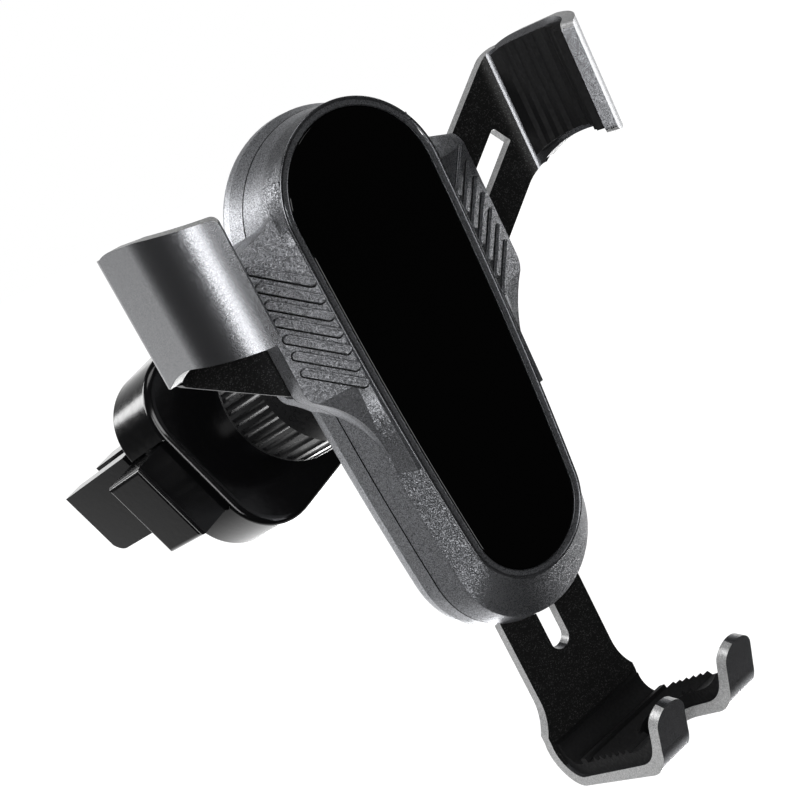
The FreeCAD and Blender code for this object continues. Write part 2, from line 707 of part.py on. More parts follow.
# Trim the plate to a slanting strip that runs into the claw's top and bottom
slope = math.cos(math.radians(float(slide_angle)))
lift = Size(float(arm_half) / slope, "(%s / cos(%s * 1deg))" % (arm_half.text, slide_angle.text))
root_top = claw_top_z - 0.7
root_low = claw_low_z - 1.6
trim = front_sketch(right_arm, bend_y)
loop(trim, [
    (arm_end_x - 1.0, along(arm_end_x - 1.0) + lift),
    (claw_x - 4.0, along(claw_x - 4.0) + lift, (claw_x - 2.5, claw_top_z - 1.25)),
    (claw_x - 0.8, root_top), (claw_x + 1.0, root_top), (claw_x + 1.0, claw_top_z + 4.0),
    (arm_end_x - 1.0, claw_top_z + 4.0),
])
pocket(right_arm, trim, claw_bend + 1.0)
trim_low = front_sketch(right_arm, bend_y)
loop(trim_low, [
    (arm_end_x - 1.0, along(arm_end_x - 1.0) - lift),
    (claw_x - 2.8, along(claw_x - 2.8) - lift, (claw_x - 1.9, root_low - 0.45)),
    (claw_x - 0.9, root_low), (claw_x + 1.0, root_low), (claw_x + 1.0, Size(-10.0, "-10")),
    (arm_end_x - 1.0, Size(-10.0, "-10")),
])
pocket(right_arm, trim_low, claw_bend + 1.0)


def claw_edges(inset):
    """The claw's top and bottom edges seen from the side, moved inward by the inset."""
    front = claw_wall_y - claw_curve
    top = [
        (plate_back + 1.0, root_top - inset),
        (bend_y, root_top - inset, (bend_y - 3.6, claw_top_z - 0.12 - inset)),
        (bend_y - 7.2, claw_top_z - inset),
        (claw_wall_y - 2.0, claw_top_z - inset, (claw_wall_y - 8.0, claw_top_z - 0.7 - inset)),
        (front, claw_top_z - 2.2 - inset),
        (front, claw_top_z + 5.0),
        (plate_back + 1.0, claw_top_z + 5.0),
    ]
    low = [
        (bend_y, root_low + inset, (bend_y - 6.6, claw_low_z + 0.5 + inset)),
        (claw_wall_y - 1.4, claw_low_z + 1.3 + inset, (claw_wall_y - 8.0, claw_low_z + 0.9 + inset)),
        (front, claw_low_z + inset), (front, Size(-10.0, "-10")), (bend_y, Size(-10.0, "-10")),
    ]
    return top, low


cap = new_sketch(right_arm, "YZ_Plane", curve_x)
loop(cap, claw_edges(0.0)[0])
pocket(right_arm, cap, claw_curve + 2.0, back=True)
arch = new_sketch(right_arm, "YZ_Plane", curve_x)
loop(arch, claw_edges(0.0)[1])
pocket(right_arm, arch, claw_curve + 2.0, back=True)

# Rounded corners of the lip
fillet(right_arm, 1.2, lambda e: e.CenterOfMass.y < float(lip_in[1]) + 0.4
       and abs(e.Length - float(arm_thick)) < 0.3 and e.CenterOfMass.x < float(lip_out[0]) + 0.2)

# Slot for the guide peg and hole for the drive pin
slot_in = guide_x - (guide_r + 0.4)
slot = front_sketch(right_arm, plate_y - 1.0)
loop(slot, square_band(slot_in, arm_slot_out, arm_slot_half))
pocket(right_arm, slot, arm_thick + 2.0)
fillet(right_arm, 0.8, lambda e: len(e.Vertexes) == 2 and abs(e.Length - float(arm_thick)) < 1e-3
       and e.CenterOfMass.x < float(arm_slot_out) + 1.5 and e.CenterOfMass.x > float(slot_in) - 1.5
       and abs(e.CenterOfMass.y - float(plate_y) - float(arm_thick) / 2) < 1e-3)
pin_hole = front_sketch(right_arm, plate_y - 1.0)
disc(pin_hole, pin_x, pin_z, pin_r)
pocket(right_arm, pin_hole, arm_thick + 2.0)
keep(right_arm, mirror_of(right_arm, "left_arm"))

# Drive pins, riveted in the arms and running in the link's slots
right_pin = turned("right_link_pin", [
    (0, plate_y), (pin_r, plate_y), (pin_r, link_y + link_thick), (0, link_y + link_thick),
], Placement(Vector(float(pin_x), 0, float(pin_z)), Rotation()))
keep(right_pin, mirror_of(right_pin, "left_link_pin"))

# Claw pad: a silicone lining with upright ribs on the wall and the inward curve
right_claw_pad = new_body("right_claw_pad")
lining = new_sketch(right_claw_pad, "XY_Plane", claw_low_z - 4.0)
skin_r = claw_in_r - claw_pad_thick
skin = wall_in - claw_pad_thick
pad_share = 0.93
pad_in = on_curve(skin_r, pad_share)
pad_out = on_curve(claw_in_r, pad_share)
loop(lining, [
    (wall_in, bend_y), (wall_in, claw_wall_y, on_curve(claw_in_r, 0.5)),
    pad_out,
    (pad_in[0], pad_in[1], on_curve(skin_r, 0.5)),
    (skin, claw_wall_y),
    (skin, bend_y),
])
pad(right_claw_pad, lining, claw_top_z - claw_low_z + 6.0)
ribs = new_sketch(right_claw_pad, "XY_Plane", claw_low_z - 4.0)
rib_pitch = size("rib_pitch", 2.6, "spacing of the ribs on the claw's pad")
for number in range(4):
    y = bend_y - 3.4 - rib_pitch * number
    loop(ribs, [(skin + 0.2, y + 0.8), (skin - pad_rib, y), (skin + 0.2, y - 0.8)])
for number in range(4):
    middle = (2.0 + number * float(rib_pitch)) / float(skin_r) / math.radians(float(claw_sweep))
    half = 0.8 / float(skin_r) / math.radians(float(claw_sweep))
    loop(ribs, [on_curve(skin_r + 0.2, middle - half), on_curve(skin_r - pad_rib, middle),
                on_curve(skin_r + 0.2, middle + half)])
pad(right_claw_pad, ribs, claw_top_z - claw_low_z + 6.0)
pad_inset = size("pad_inset", 1.0, "how far the claw's pad stays inside the metal's edge")
pad_top, pad_low = claw_edges(pad_inset)
trim_top = new_sketch(right_claw_pad, "YZ_Plane", curve_x)
loop(trim_top, pad_top)
pocket(right_claw_pad, trim_top, claw_curve + 2.0, back=True)
trim_bottom = new_sketch(right_claw_pad, "YZ_Plane", curve_x)
pad_low[0] = (pad_low[0][0] + 1.0, pad_low[0][1], pad_low[0][2])
pad_low[-1] = (pad_low[-1][0] + 1.0, pad_low[-1][1])
loop(trim_bottom, pad_low)
pocket(right_claw_pad, trim_bottom, claw_curve + 2.0, back=True)
keep(right_claw_pad, mirror_of(right_claw_pad, "left_claw_pad"))

# Foot: a slotted plate that bends forward into a rising floor with two hooks
foot = new_body("foot")
profile = new_sketch(foot, "YZ_Plane", -foot_wide)
foot_back = plate_y + foot_thick
loop(profile, [
    (plate_y, foot_top_z),
    (plate_y, Size(-64.5, "-64.5"), (7.6, -69.2)),
    plain(3.6, -69.7),
    plain(-16.0, -61.2) + ((-19.4, -58.9),),
    plain(-21.4, -55.8),
    plain(-24.7, -47.2),
    plain(-26.6, -47.4),
    plain(-23.25, -56.6) + ((-21.0, -60.5),),
    plain(-17.2, -62.9),
    plain(4.4, -71.8) + ((9.4, -71.2),),
    (foot_back, Size(-64.8, "-64.8")),
    (foot_back, foot_top_z),
])
pad(foot, profile, foot_wide * 2)
sides = front_sketch(foot, plate_y - 1.0)
edge = [
    (foot_half, foot_top_z + 1.0), (foot_half, Size(-56.5, "-56.5"), (9.6, -60.0)),
    (foot_wide, Size(-63.0, "-63")), (foot_wide + 1.0, Size(-63.0, "-63")),
    (foot_wide + 1.0, foot_top_z + 1.0),
]
loop(sides, edge)
loop(sides, mirrored(edge))
pocket(foot, sides, foot_thick + 4.0)
foot_slot = front_sketch(foot, plate_y - 1.0)
loop(foot_slot, [
    (foot_slot_half, foot_slot_top - foot_slot_half), (foot_slot_half, foot_slot_low + foot_slot_half,
     (0.0, foot_slot_low)),
    (-foot_slot_half, foot_slot_low + foot_slot_half),
    (-foot_slot_half, foot_slot_top - foot_slot_half, (0.0, foot_slot_top)),
])
pocket(foot, foot_slot, foot_thick + 2.0)
hook_gap = new_sketch(foot, "XY_Plane", -40.0)
loop(hook_gap, [
    (hook_gap_half, hook_gap_y - hook_gap_half, (0.0, hook_gap_y)),
    (-hook_gap_half, hook_gap_y - hook_gap_half),
    (-hook_gap_half, Size(-40.0, "-40")),
    (hook_gap_half, Size(-40.0, "-40")),
])
pocket(foot, hook_gap, 40.0)
hook_r = (foot_wide - hook_gap_half) / 2
hook_x = hook_gap_half + hook_r
tip_z = size("tip_z", -49.0, "top of the hooks")
for mirror in (False, True):
    tips = front_sketch(foot, -36.0)
    crown = [
        (foot_wide, tip_z - hook_r, (float(hook_x), float(tip_z))), (hook_gap_half, tip_z - hook_r),
        (hook_gap_half - 2.0, tip_z - hook_r), (hook_gap_half - 2.0, tip_z + 4.0),
        (foot_wide + 2.0, tip_z + 4.0), (foot_wide + 2.0, tip_z - hook_r),
    ]
    loop(tips, mirrored(crown) if mirror else crown)
    pocket(foot, tips, 18.0)
rivet_x = size("rivet_x", 4.5, "place of the link's rivets")
rivet_z = foot_top_z - 5.0
rivet_r = size("rivet_r", 1.5, "radius of the link's rivets")
rivet_holes = front_sketch(foot, plate_y - 1.0)
disc(rivet_holes, rivet_x, rivet_z, rivet_r)
disc(rivet_holes, -rivet_x, rivet_z, rivet_r)
pocket(foot, rivet_holes, foot_thick + 2.0)
keep(foot)

# Foot pad: a silicone lining with a cross bar near the bend and ribs towards the hooks
foot_pad = new_body("foot_pad")
sole = new_sketch(foot_pad, "YZ_Plane", -(foot_wide - 0.7))
loop(sole, [
    (plate_y, Size(-64.5, "-64.5"), (7.6, -69.2)),
    plain(3.6, -69.7),
    plain(-16.0, -61.2) + ((-19.4, -58.9),),
    plain(-21.4, -55.8),
    plain(-20.2, -55.35) + ((-18.3, -57.3),),
    plain(-15.4, -59.2),
    plain(4.0, -67.6) + ((6.9, -67.3),),
    plain(7.9, -64.5),
])
pad(foot_pad, sole, foot_wide * 2 - 1.4)
rise = Vector(-19.4, 8.4, 0).normalize()
out = Vector(rise.y, -rise.x, 0)
grips = new_sketch(foot_pad, "YZ_Plane", -(foot_wide - 0.7))
bar = Vector(3.0, -67.17, 0)
for number in range(6):
    middle = Vector(-1.6, -65.18, 0) + rise * (number * 2.35)
    a = middle - rise * 0.85 - out * 0.2
    b = middle + out * 0.85
    c = middle + rise * 0.85 - out * 0.2
    loop(grips, [plain(p.x, p.y) for p in (a, b, c)])
low, high = bar - out * 0.2, bar + out * 0.9
loop(grips, [plain(p.x, p.y) for p in (low, high, high + rise * 1.8, low + rise * 1.8)])
pad(foot_pad, grips, foot_wide * 2 - 1.4)
pad_gap = new_sketch(foot_pad, "XY_Plane", -40.0)
loop(pad_gap, [
    (hook_gap_half + 0.7, hook_gap_y - hook_gap_half, (0.0, hook_gap_y + 0.7)),
    (-(hook_gap_half + 0.7), hook_gap_y - hook_gap_half),
    (-(hook_gap_half + 0.7), Size(-40.0, "-40")),
    (hook_gap_half + 0.7, Size(-40.0, "-40")),
])
pocket(foot_pad, pad_gap, 40.0)
keep(foot_pad)

# Cross link: a bar with a slot for each drive pin, on a stem riveted to the foot
link_yoke = new_body("link_yoke")
link = front_sketch(link_yoke, link_y)
stem = Size(3.6, "3.6")
loop(link, [
    (bar_end, pin_z - link_half), (bar_end, pin_z + link_half), (Size(2.4, "2.4"), pin_z + link_half),
    (Size(2.4, "2.4"), pin_z + 5.5), (Size(-2.4, "-2.4"), pin_z + 5.5),
    (Size(-2.4, "-2.4"), pin_z + link_half), (-bar_end, pin_z + link_half),
    (-bar_end, pin_z - link_half), (-stem, pin_z - link_half), (-stem, foot_top_z),
    (-link_foot, foot_top_z), (-link_foot, foot_top_z - 10.0),
    (link_foot, foot_top_z - 10.0), (link_foot, foot_top_z), (stem, foot_top_z),
    (stem, pin_z - link_half),
])
pad(link_yoke, link, link_thick, back=True)
reach = math.tan(math.radians(float(slide_angle)))
pin_run = Size(float(foot_travel) / reach, "(%s / tan(%s * 1deg))" % (foot_travel.text, slide_angle.text))
run_gap = pin_r + 0.15
link_slots = front_sketch(link_yoke, link_y - 1.0)
one = [
    (pin_x + 0.2, pin_z + run_gap, (pin_x + 0.2 + run_gap, pin_z)),
    (pin_x + 0.2, pin_z - run_gap),
    (pin_x - pin_run - 0.2, pin_z - run_gap, (pin_x - pin_run - 0.2 - run_gap, pin_z)),
    (pin_x - pin_run - 0.2, pin_z + run_gap),
]
loop(link_slots, one)
loop(link_slots, mirrored(one))
pocket(link_yoke, link_slots, link_thick + 2.0)
link_holes = front_sketch(link_yoke, link_y - 1.0)
disc(link_holes, rivet_x, rivet_z, rivet_r)
disc(link_holes, -rivet_x, rivet_z, rivet_r)
pocket(link_yoke, link_holes, link_thick + 2.0)
keep(link_yoke)

# Rivets of the link
for side, word in ((1, "right"), (-1, "left")):
    rivet = turned("link_rivet_%s" % word, [
        (0, plate_y), (rivet_r, plate_y), (rivet_r, link_y + link_thick), (0, link_y + link_thick),
    ], Placement(Vector(side * float(rivet_x), 0, float(rivet_z)), Rotation()))
    keep(rivet)

# Return spring: a tension coil between the link's lug and the post
spring_y = float(link_y) + float(link_thick) / 2
lug_z = float(pin_z) + 5.5
coil_low = lug_z + 2.2
coil_high = float(spring_top) - 3.0
turns = 7
wire_r = 0.35
helix = Part.makeHelix((coil_high - coil_low) / turns, coil_high - coil_low, float(spring_r))
coil_start = Part.Wire([Part.makeCircle(wire_r, Vector(float(spring_r), 0, 0), Vector(0, 1, 0))])
coil = Part.Wire(helix.Edges).makePipeShell([coil_start], True, True)
coil.translate(Vector(0, spring_y, coil_low))
low_tail = Part.makeCylinder(wire_r, coil_low - lug_z + 0.2, Vector(0, spring_y, lug_z))
low_turn = Part.makeCylinder(wire_r, float(spring_r), Vector(0, spring_y, coil_low), Vector(1, 0, 0))
high_tail = Part.makeCylinder(wire_r, float(spring_top) - 1.0 - coil_high + 0.2,
                              Vector(0, spring_y, coil_high - 0.2))
high_turn = Part.makeCylinder(wire_r, float(spring_r), Vector(0, spring_y, coil_high), Vector(1, 0, 0))
return_spring = doc.addObject("Part::Feature", "return_spring")
return_spring.Label = "return_spring"
return_spring.Shape = coil.fuse([low_tail, low_turn, high_tail, high_turn])
keep(return_spring)

# Ball stud and its screw
ball_centre = Placement(Vector(0, 0, float(ball_z)), Rotation())
neck_y = ball_y - math.sqrt(float(ball_r) ** 2 - float(stem_r) ** 2)
bore = Size(1.45, "1.45")
ball_stud = turned("ball_stud", [
    (bore, Size(15.65, "15.65")), (flange_r, Size(15.65, "15.65")), (flange_r, Size(16.9, "16.9")),
    (stem_r + 1.2, Size(17.2, "17.2")), (stem_r, Size(18.2, "18.2")),
    (stem_r, neck_y, (ball_r, ball_y)),
    (Size(0.0, "0"), ball_y + ball_r), (Size(0.0, "0"), Size(23.0, "23")), (bore, Size(23.0, "23")),
], ball_centre)
keep(ball_stud)
stud_screw = turned("stud_screw", [
    (0, 13.1), (3.7, 13.1), (3.7, 14.3), (bore - 0.05, Size(14.3, "14.3")),
    (bore - 0.05, Size(22.0, "22")), (0, 22.0),
], ball_centre)
keep(stud_screw)

# Frame of the vent clip: from the ball's centre, Y runs back along the clip's axis
clip_turn = (
    Rotation(Vector(0, 0, 1), float(clip_yaw))
    .multiply(Rotation(Vector(1, 0, 0), -float(clip_drop)))
    .multiply(Rotation(Vector(0, 1, 0), -float(clip_roll)))
)
clip_frame = Placement(Vector(0, float(ball_y), float(ball_z)), clip_turn)

# Friction ring around the ball, held by the nut's lip
cup_r = ball_r + 0.1
ring_front = Size(-4.2, "-4.2")
ring_in = Size(math.sqrt(float(cup_r) ** 2 - 4.2**2), "sqrt(%s ^ 2 - 17.64)" % cup_r.text)
friction_ring = turned("friction_ring", [
    (ring_in, ring_front, (math.sqrt(float(cup_r) ** 2 - 4.0), -2.0)),
    (cup_r, Size(0.0, "0")),
    (boss_r - 0.5, Size(0.0, "0")),
    (boss_r - 0.5, Size(-2.2, "-2.2")),
    (ring_in + 0.3, ring_front),
], clip_frame)
keep(friction_ring)

# Lock nut: a long flared ring with flutes along its length
swivel_nut = turned("swivel_nut", [
    (ring_in + 0.3, nut_front), (nut_front_r - 0.6, nut_front), (nut_front_r, nut_front + 0.7),
    (nut_r, Size(12.0, "12")), (nut_r, nut_back - 1.0), (nut_r - 0.8, nut_back),
    (boss_r + 0.08, nut_back), (boss_r + 0.08, Size(-2.0, "-2")), (ring_in + 0.3, Size(-4.6, "-4.6")),
], clip_frame)
flute = new_sketch(swivel_nut, "XZ_Plane", -12.0)
disc(flute, nut_r + 0.55, 0.0, Size(1.05, "1.05"))
cut = pocket(swivel_nut, flute, nut_back - 12.0 - 1.6)
ring = swivel_nut.newObject("PartDesign::PolarPattern", "swivel_nut_flutes")
ring.Originals = [cut]
ring.Axis = (origin(swivel_nut, "Y_Axis"), [""])
ring.Angle = 360
ring.Occurrences = int(float(nut_flutes))
swivel_nut.Tip = ring
finish_step(swivel_nut)
keep(swivel_nut)

# Clip housing: a rounded square box with the ball's socket in front
clip_housing = new_body("clip_housing")
box = front_sketch(clip_housing, clip_front)
inset = clip_half - clip_corner
bow = clip_corner * turn
box_corners = [
    (clip_half, -inset), (clip_half, inset, (inset + bow, inset + bow)),
    (inset, clip_half), (-inset, clip_half, (-(inset + bow), inset + bow)),
    (-clip_half, inset), (-clip_half, -inset, (-(inset + bow), -(inset + bow))),
    (-inset, -clip_half), (inset, -clip_half, (inset + bow, -(inset + bow))),
]
loop(box, box_corners)
cover_v = clip_front + clip_deep - cover_thick
pad(clip_housing, box, clip_deep - cover_thick, back=True)
fillet(clip_housing, clip_round, at_depth(clip_front))
socket = front_sketch(clip_housing, 0.05)
disc(socket, 0.0, 0.0, boss_r)
pad(clip_housing, socket, clip_front, back=True)
cup = new_sketch(clip_housing, "XY_Plane")
loop(cup, [
    (0.0, -1.0), (cup_r, Size(-1.0, "-1")),
    (cup_r, Size(0.05, "0.05"), (float(cup_r) * turn, float(cup_r) * turn)),
    (0.0, cup_r),
])
hollow = clip_housing.newObject("PartDesign::Groove", "clip_housing_cup")
hollow.Profile = cup
hollow.ReferenceAxis = (cup, ["V_Axis"])
hollow.Angle = 360
finish_step(clip_housing)

# Cavity of the lever, open at the press tab's side, and seat of the fixed jaw
tab_gap = size("tab_gap", 0.4, "side gap of the press lever")
cavity_in = size("cavity_in", -9.0, "inner wall of the lever's cavity")
cavity_front = clip_front + 0.9
cavity = front_sketch(clip_housing, cavity_front)
loop(cavity, [
    (-(clip_half + 1.0), -(tab_half + tab_gap)), (cavity_in, -(tab_half + tab_gap)),
    (cavity_in, tab_half + tab_gap), (-(clip_half + 1.0), tab_half + tab_gap),
])
pocket(clip_housing, cavity, clip_deep)
seat_v = cover_v - 5.1
seat_u = size("seat_u", 8.0, "end of the fixed jaw's root")
jaw_seat = front_sketch(clip_housing, seat_v)
loop(jaw_seat, [
    (cavity_in - 3.6, -(jaw_top + 0.6)), (seat_u, -(jaw_top + 0.6)),
    (seat_u, jaw_top + 0.6), (cavity_in - 3.6, jaw_top + 0.6),
])
pocket(clip_housing, jaw_seat, clip_deep)
cover_screw_u = size("cover_screw_u", 12.5, "place of the cover's screws")
cover_screw_r = size("cover_screw_r", 1.0, "radius of the cover's screws")
cover_screw_w = 12.0
screw_bores = front_sketch(clip_housing, cover_v - 8.0)
disc(screw_bores, cover_screw_u, cover_screw_w, cover_screw_r)
disc(screw_bores, cover_screw_u, -cover_screw_w, cover_screw_r)
pocket(clip_housing, screw_bores, 9.0)
pin_u = size("pin_u", -14.0, "place of the lever's pin across the clip")
pin_v = size("pin_v", 46.0, "place of the lever's pin along the clip")
lever_pin_r = size("lever_pin_r", 1.25, "radius of the lever's pin")
pin_bores = new_sketch(clip_housing, "XY_Plane", 15.0)
disc(pin_bores, pin_u, pin_v, lever_pin_r)
pocket(clip_housing, pin_bores, 30.0)
clip_housing.Placement = clip_frame
doc.recompute()
keep(clip_housing)

# Press lever: a tab outside the housing and a jaw behind it, in one moulding
press_lever = new_body("press_lever")
swing = new_sketch(press_lever, "XY_Plane", -tab_half)
tab_front = clip_front + 2.4
tab_back = clip_front + clip_deep + 0.2
jaw_in = size("jaw_in", -16.0, "inner face of the moving jaw")
jaw_out = size("jaw_out", -20.4, "outer face of the moving jaw")
loop(swing, [
    (-tab_out, tab_front), (-tab_out, tab_back), (jaw_out, tab_back), (jaw_out, tab_back + 4.0),
    (jaw_in, tab_back + 4.0), (pin_u + 2.2, pin_v + 3.0), (pin_u + 2.2, pin_v - 2.4),
    (Size(-18.0, "-18"), pin_v - 2.7), (Size(-18.0, "-18"), tab_front),
])
pad(press_lever, swing, tab_half * 2)
fillet(press_lever, 0.9, lambda e: all(abs(v.X + float(tab_out)) < 1e-4 for v in e.Vertexes))
jaw = new_sketch(press_lever, "XY_Plane", jaw_low)
loop(jaw, [
    (jaw_out, tab_back + 1.3), (jaw_out, jaw_back), (jaw_out + 1.2, jaw_back + 0.6), (jaw_in, jaw_back - 0.6),
    (jaw_in, tab_back + 1.3),
])
pad(press_lever, jaw, jaw_top - jaw_low)


def round_tip(body):
    """Round the lower back corner of a jaw."""
    corner = new_sketch(body, "YZ_Plane", -30.0)
    tip = jaw_back + 0.8
    loop(corner, [
        (tip - 4.6, jaw_low, (float(tip) - 4.6 * (1 - turn), float(jaw_low) + 4.6 * (1 - turn))),
        (tip, jaw_low + 4.6), (tip + 2.0, jaw_low + 4.6), (tip + 2.0, jaw_low - 2.0),
        (tip - 4.6, jaw_low - 2.0),
    ])
    pocket(body, corner, 40.0, back=True)


round_tip(press_lever)
pin_hole_lever = new_sketch(press_lever, "XY_Plane", 15.0)
disc(pin_hole_lever, pin_u, pin_v, lever_pin_r + 0.08)
pocket(press_lever, pin_hole_lever, 30.0)

# Blind hole in the tab for the spring's end
spring_v = pin_v - 5.8
spring_hole = new_sketch(press_lever, "YZ_Plane", -22.4)
disc(spring_hole, spring_v, 0.0, Size(3.0, "3"))
pocket(press_lever, spring_hole, 13.0, back=True)
press_lever.Placement = clip_frame
doc.recompute()
keep(press_lever)

# Lever pin across the housing
lever_pin = new_body("lever_pin")
rod = new_sketch(lever_pin, "XY_Plane", -14.8)
disc(rod, pin_u, pin_v, lever_pin_r)
pad(lever_pin, rod, 29.6)
lever_pin.Placement = clip_frame
keep(lever_pin)

# Fixed jaw, held in the housing
fixed_jaw = new_body("fixed_jaw")
fixed = new_sketch(fixed_jaw, "XY_Plane", jaw_low)
fixed_in = size("fixed_in", -10.6, "inner face of the fixed jaw")
fixed_out = size("fixed_out", -5.0, "outer face of the fixed jaw")
jaw_start = clip_front + clip_deep + 1.5
loop(fixed, [
    (fixed_in, jaw_start), (fixed_in, jaw_back - 0.6), (fixed_in + 1.4, jaw_back + 0.4),
    (fixed_out, jaw_back - 0.6), (fixed_out, jaw_start),
])
pad(fixed_jaw, fixed, jaw_top - jaw_low)
round_tip(fixed_jaw)
root = new_sketch(fixed_jaw, "XY_Plane", jaw_low)
loop(root, [
    (fixed_in, seat_v), (fixed_in, jaw_start + 0.2), (fixed_out, jaw_start + 0.2), (fixed_out, cover_v),
    (seat_u, cover_v), (seat_u, seat_v),
])
pad(fixed_jaw, root, jaw_top - jaw_low)
fixed_jaw.Placement = clip_frame
doc.recompute()
keep(fixed_jaw)

# Rubber pads that face each other on the jaws
jaw_pads = [("moving_jaw_pad", jaw_in, jaw_in + 1.7), ("fixed_jaw_pad", fixed_in - 1.7, fixed_in)]
for label, u_from, u_to in jaw_pads:
    grip = new_body(label)
    slab = new_sketch(grip, "XY_Plane", jaw_low + 1.0)
    low_v = clip_front + clip_deep + 6.0
    loop(slab, [(u_from, low_v), (u_to, low_v), (u_to, jaw_back - 1.2), (u_from, jaw_back - 1.2)])
    pad(grip, slab, jaw_top - jaw_low - 2.0)
    grip.Placement = clip_frame
    keep(grip)

# Back cover of the clip, cut out for the lever and the fixed jaw, and its screws
clip_back_cover = new_body("clip_back_cover")
lid = front_sketch(clip_back_cover, cover_v)
loop(lid, box_corners)
pad(clip_back_cover, lid, cover_thick, back=True)
fillet(clip_back_cover, 0.8, at_depth(clip_front + clip_deep))
windows = front_sketch(clip_back_cover, cover_v - 1.0)
loop(windows, [
    (-(clip_half + 1.0), -(tab_half + tab_gap)), (fixed_in - 0.4, -(tab_half + tab_gap)),
    (fixed_in - 0.4, tab_half + tab_gap), (-(clip_half + 1.0), tab_half + tab_gap),
])
pocket(clip_back_cover, windows, cover_thick + 2.0)
jaw_window = front_sketch(clip_back_cover, cover_v - 1.0)
loop(jaw_window, [
    (fixed_in - 1.0, jaw_low - 0.2), (fixed_out + 0.2, jaw_low - 0.2),
    (fixed_out + 0.2, jaw_top + 0.2), (fixed_in - 1.0, jaw_top + 0.2),
])
pocket(clip_back_cover, jaw_window, cover_thick + 2.0)
cover_holes = front_sketch(clip_back_cover, cover_v - 1.0)
disc(cover_holes, cover_screw_u, cover_screw_w, cover_screw_r)
disc(cover_holes, cover_screw_u, -cover_screw_w, cover_screw_r)
pocket(clip_back_cover, cover_holes, cover_thick + 2.0)
clip_back_cover.Placement = clip_frame
doc.recompute()
keep(clip_back_cover)
clip_end = clip_front + clip_deep
for side, word in ((1, "upper"), (-1, "lower")):
    at = clip_frame.multiply(Placement(Vector(float(cover_screw_u), 0, side * cover_screw_w), Rotation()))
    keep(turned("cover_screw_%s" % word, [
        (0, cover_v - 6.0), (cover_screw_r, cover_v - 6.0), (cover_screw_r, clip_end),
        (cover_screw_r * 1.9, clip_end), (cover_screw_r * 1.9, clip_end + 0.7),
        (cover_screw_r * 1.2, clip_end + 1.1), (0, clip_end + 1.1),
    ], at))

# Clip spring between the housing's inner wall and the hole in the tab
clip_spring = doc.addObject("Part::Feature", "clip_spring")
clip_spring.Label = "clip_spring"
clip_wire = 0.3
helix = Part.makeHelix(1.45, 11.3, 1.4)
start = Part.Wire([Part.makeCircle(clip_wire, Vector(1.4, 0, 0), Vector(0, 1, 0))])
coil = Part.Wire(helix.Edges).makePipeShell([start], True, True)
clip_spring.Shape = coil
clip_spring.Placement = clip_frame.multiply(
    Placement(Vector(float(cavity_in) - clip_wire - 11.3, float(spring_v), 0), Rotation(Vector(0, 1, 0), 90)))
keep(clip_spring)

# Check every piece, then write it
doc.recompute()
for thing in doc.Objects:
    if "Invalid" in thing.State or "Error" in thing.State:
        raise RuntimeError("%s failed" % thing.Label)
os.makedirs("parts", exist_ok=True)
for node in nodes:
    shape = node.Shape
    if shape.isNull() or not shape.isValid() or not shape.Solids:
        raise RuntimeError("%s is not a sound solid" % node.Label)
    shape.exportStep("parts/%s.step" % node.Label)
print("%d pieces" % len(nodes))
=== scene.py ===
"""An air vent phone holder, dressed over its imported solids.

Everything is in metres. X points right, Z up along the body and -Y towards the phone.
The origin lies on the face of the front panel, on the plane of symmetry.
"""

import math

import bpy
import numpy as np
from bpy.props import FloatProperty, FloatVectorProperty, PointerProperty
from mathutils import Matrix, Vector


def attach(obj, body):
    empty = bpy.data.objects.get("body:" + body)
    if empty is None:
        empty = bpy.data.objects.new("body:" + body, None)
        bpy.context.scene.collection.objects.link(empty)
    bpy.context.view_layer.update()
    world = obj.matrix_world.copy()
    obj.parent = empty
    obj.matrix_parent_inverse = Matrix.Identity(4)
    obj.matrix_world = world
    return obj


bl_info = {
    "name": "Air vent phone holder",
    "version": (1, 0, 0),
    "blender": (4, 5, 0),
    "location": "3D View > Sidebar > Holder",
    "description": "Finishes and trims an air vent phone holder with a gravity linkage",
    "category": "Object",
}

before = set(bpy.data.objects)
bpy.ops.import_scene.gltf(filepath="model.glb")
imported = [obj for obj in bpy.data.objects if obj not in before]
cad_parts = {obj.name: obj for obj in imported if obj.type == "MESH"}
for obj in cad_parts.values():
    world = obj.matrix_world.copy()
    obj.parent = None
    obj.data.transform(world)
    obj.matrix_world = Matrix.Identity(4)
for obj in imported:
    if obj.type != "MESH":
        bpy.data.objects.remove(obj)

MM = 0.001
SHELLS = ("front_shell", "rear_shell")
ARMS = ("right_arm", "left_arm")
SILICONE = ("right_claw_pad", "left_claw_pad", "foot_pad", "moving_jaw_pad", "fixed_jaw_pad")
CLIP = ("clip_housing", "clip_back_cover", "press_lever", "fixed_jaw")
STEEL = (
    "ball_stud", "stud_screw", "lever_pin", "clip_spring", "return_spring", "link_yoke",
    "link_rivet_right", "link_rivet_left", "right_link_pin", "left_link_pin",
    "shell_screw_upper_right", "shell_screw_upper_left", "shell_screw_lower_right",
    "shell_screw_lower_left", "cover_screw_upper", "cover_screw_lower",
)

# The panel's outline, in millimetres: height and radius of its end arcs, radius of its sides
PANEL_TOP = (34.86, 13.1)
PANEL_LOW = (-21.33, 10.5)
PANEL_SIDE = 670.0

# The wings' bars, in millimetres: x and z of the lowest bar's inner end, its run outwards
# and upwards, the step to the next bar, the wing's face at the rim as x and y, and how far
# that face falls back for each millimetre outwards
BAR_START = (14.95, 10.3)
BAR_RUN = (6.45, 5.6)
BAR_STEP = 2.87
BAR_COUNT = 7
WING_ROOT = (14.35, 0.35)
WING_FALL = 0.47

# Depths in the body: where its front turns into its side walls, and where the shells meet
SIDE_STARTS = 4.2 * MM
SIDE_FULL = 5.2 * MM
SHELL_JOINT = 9.0 * MM
JOINT_HALF = 0.14 * MM

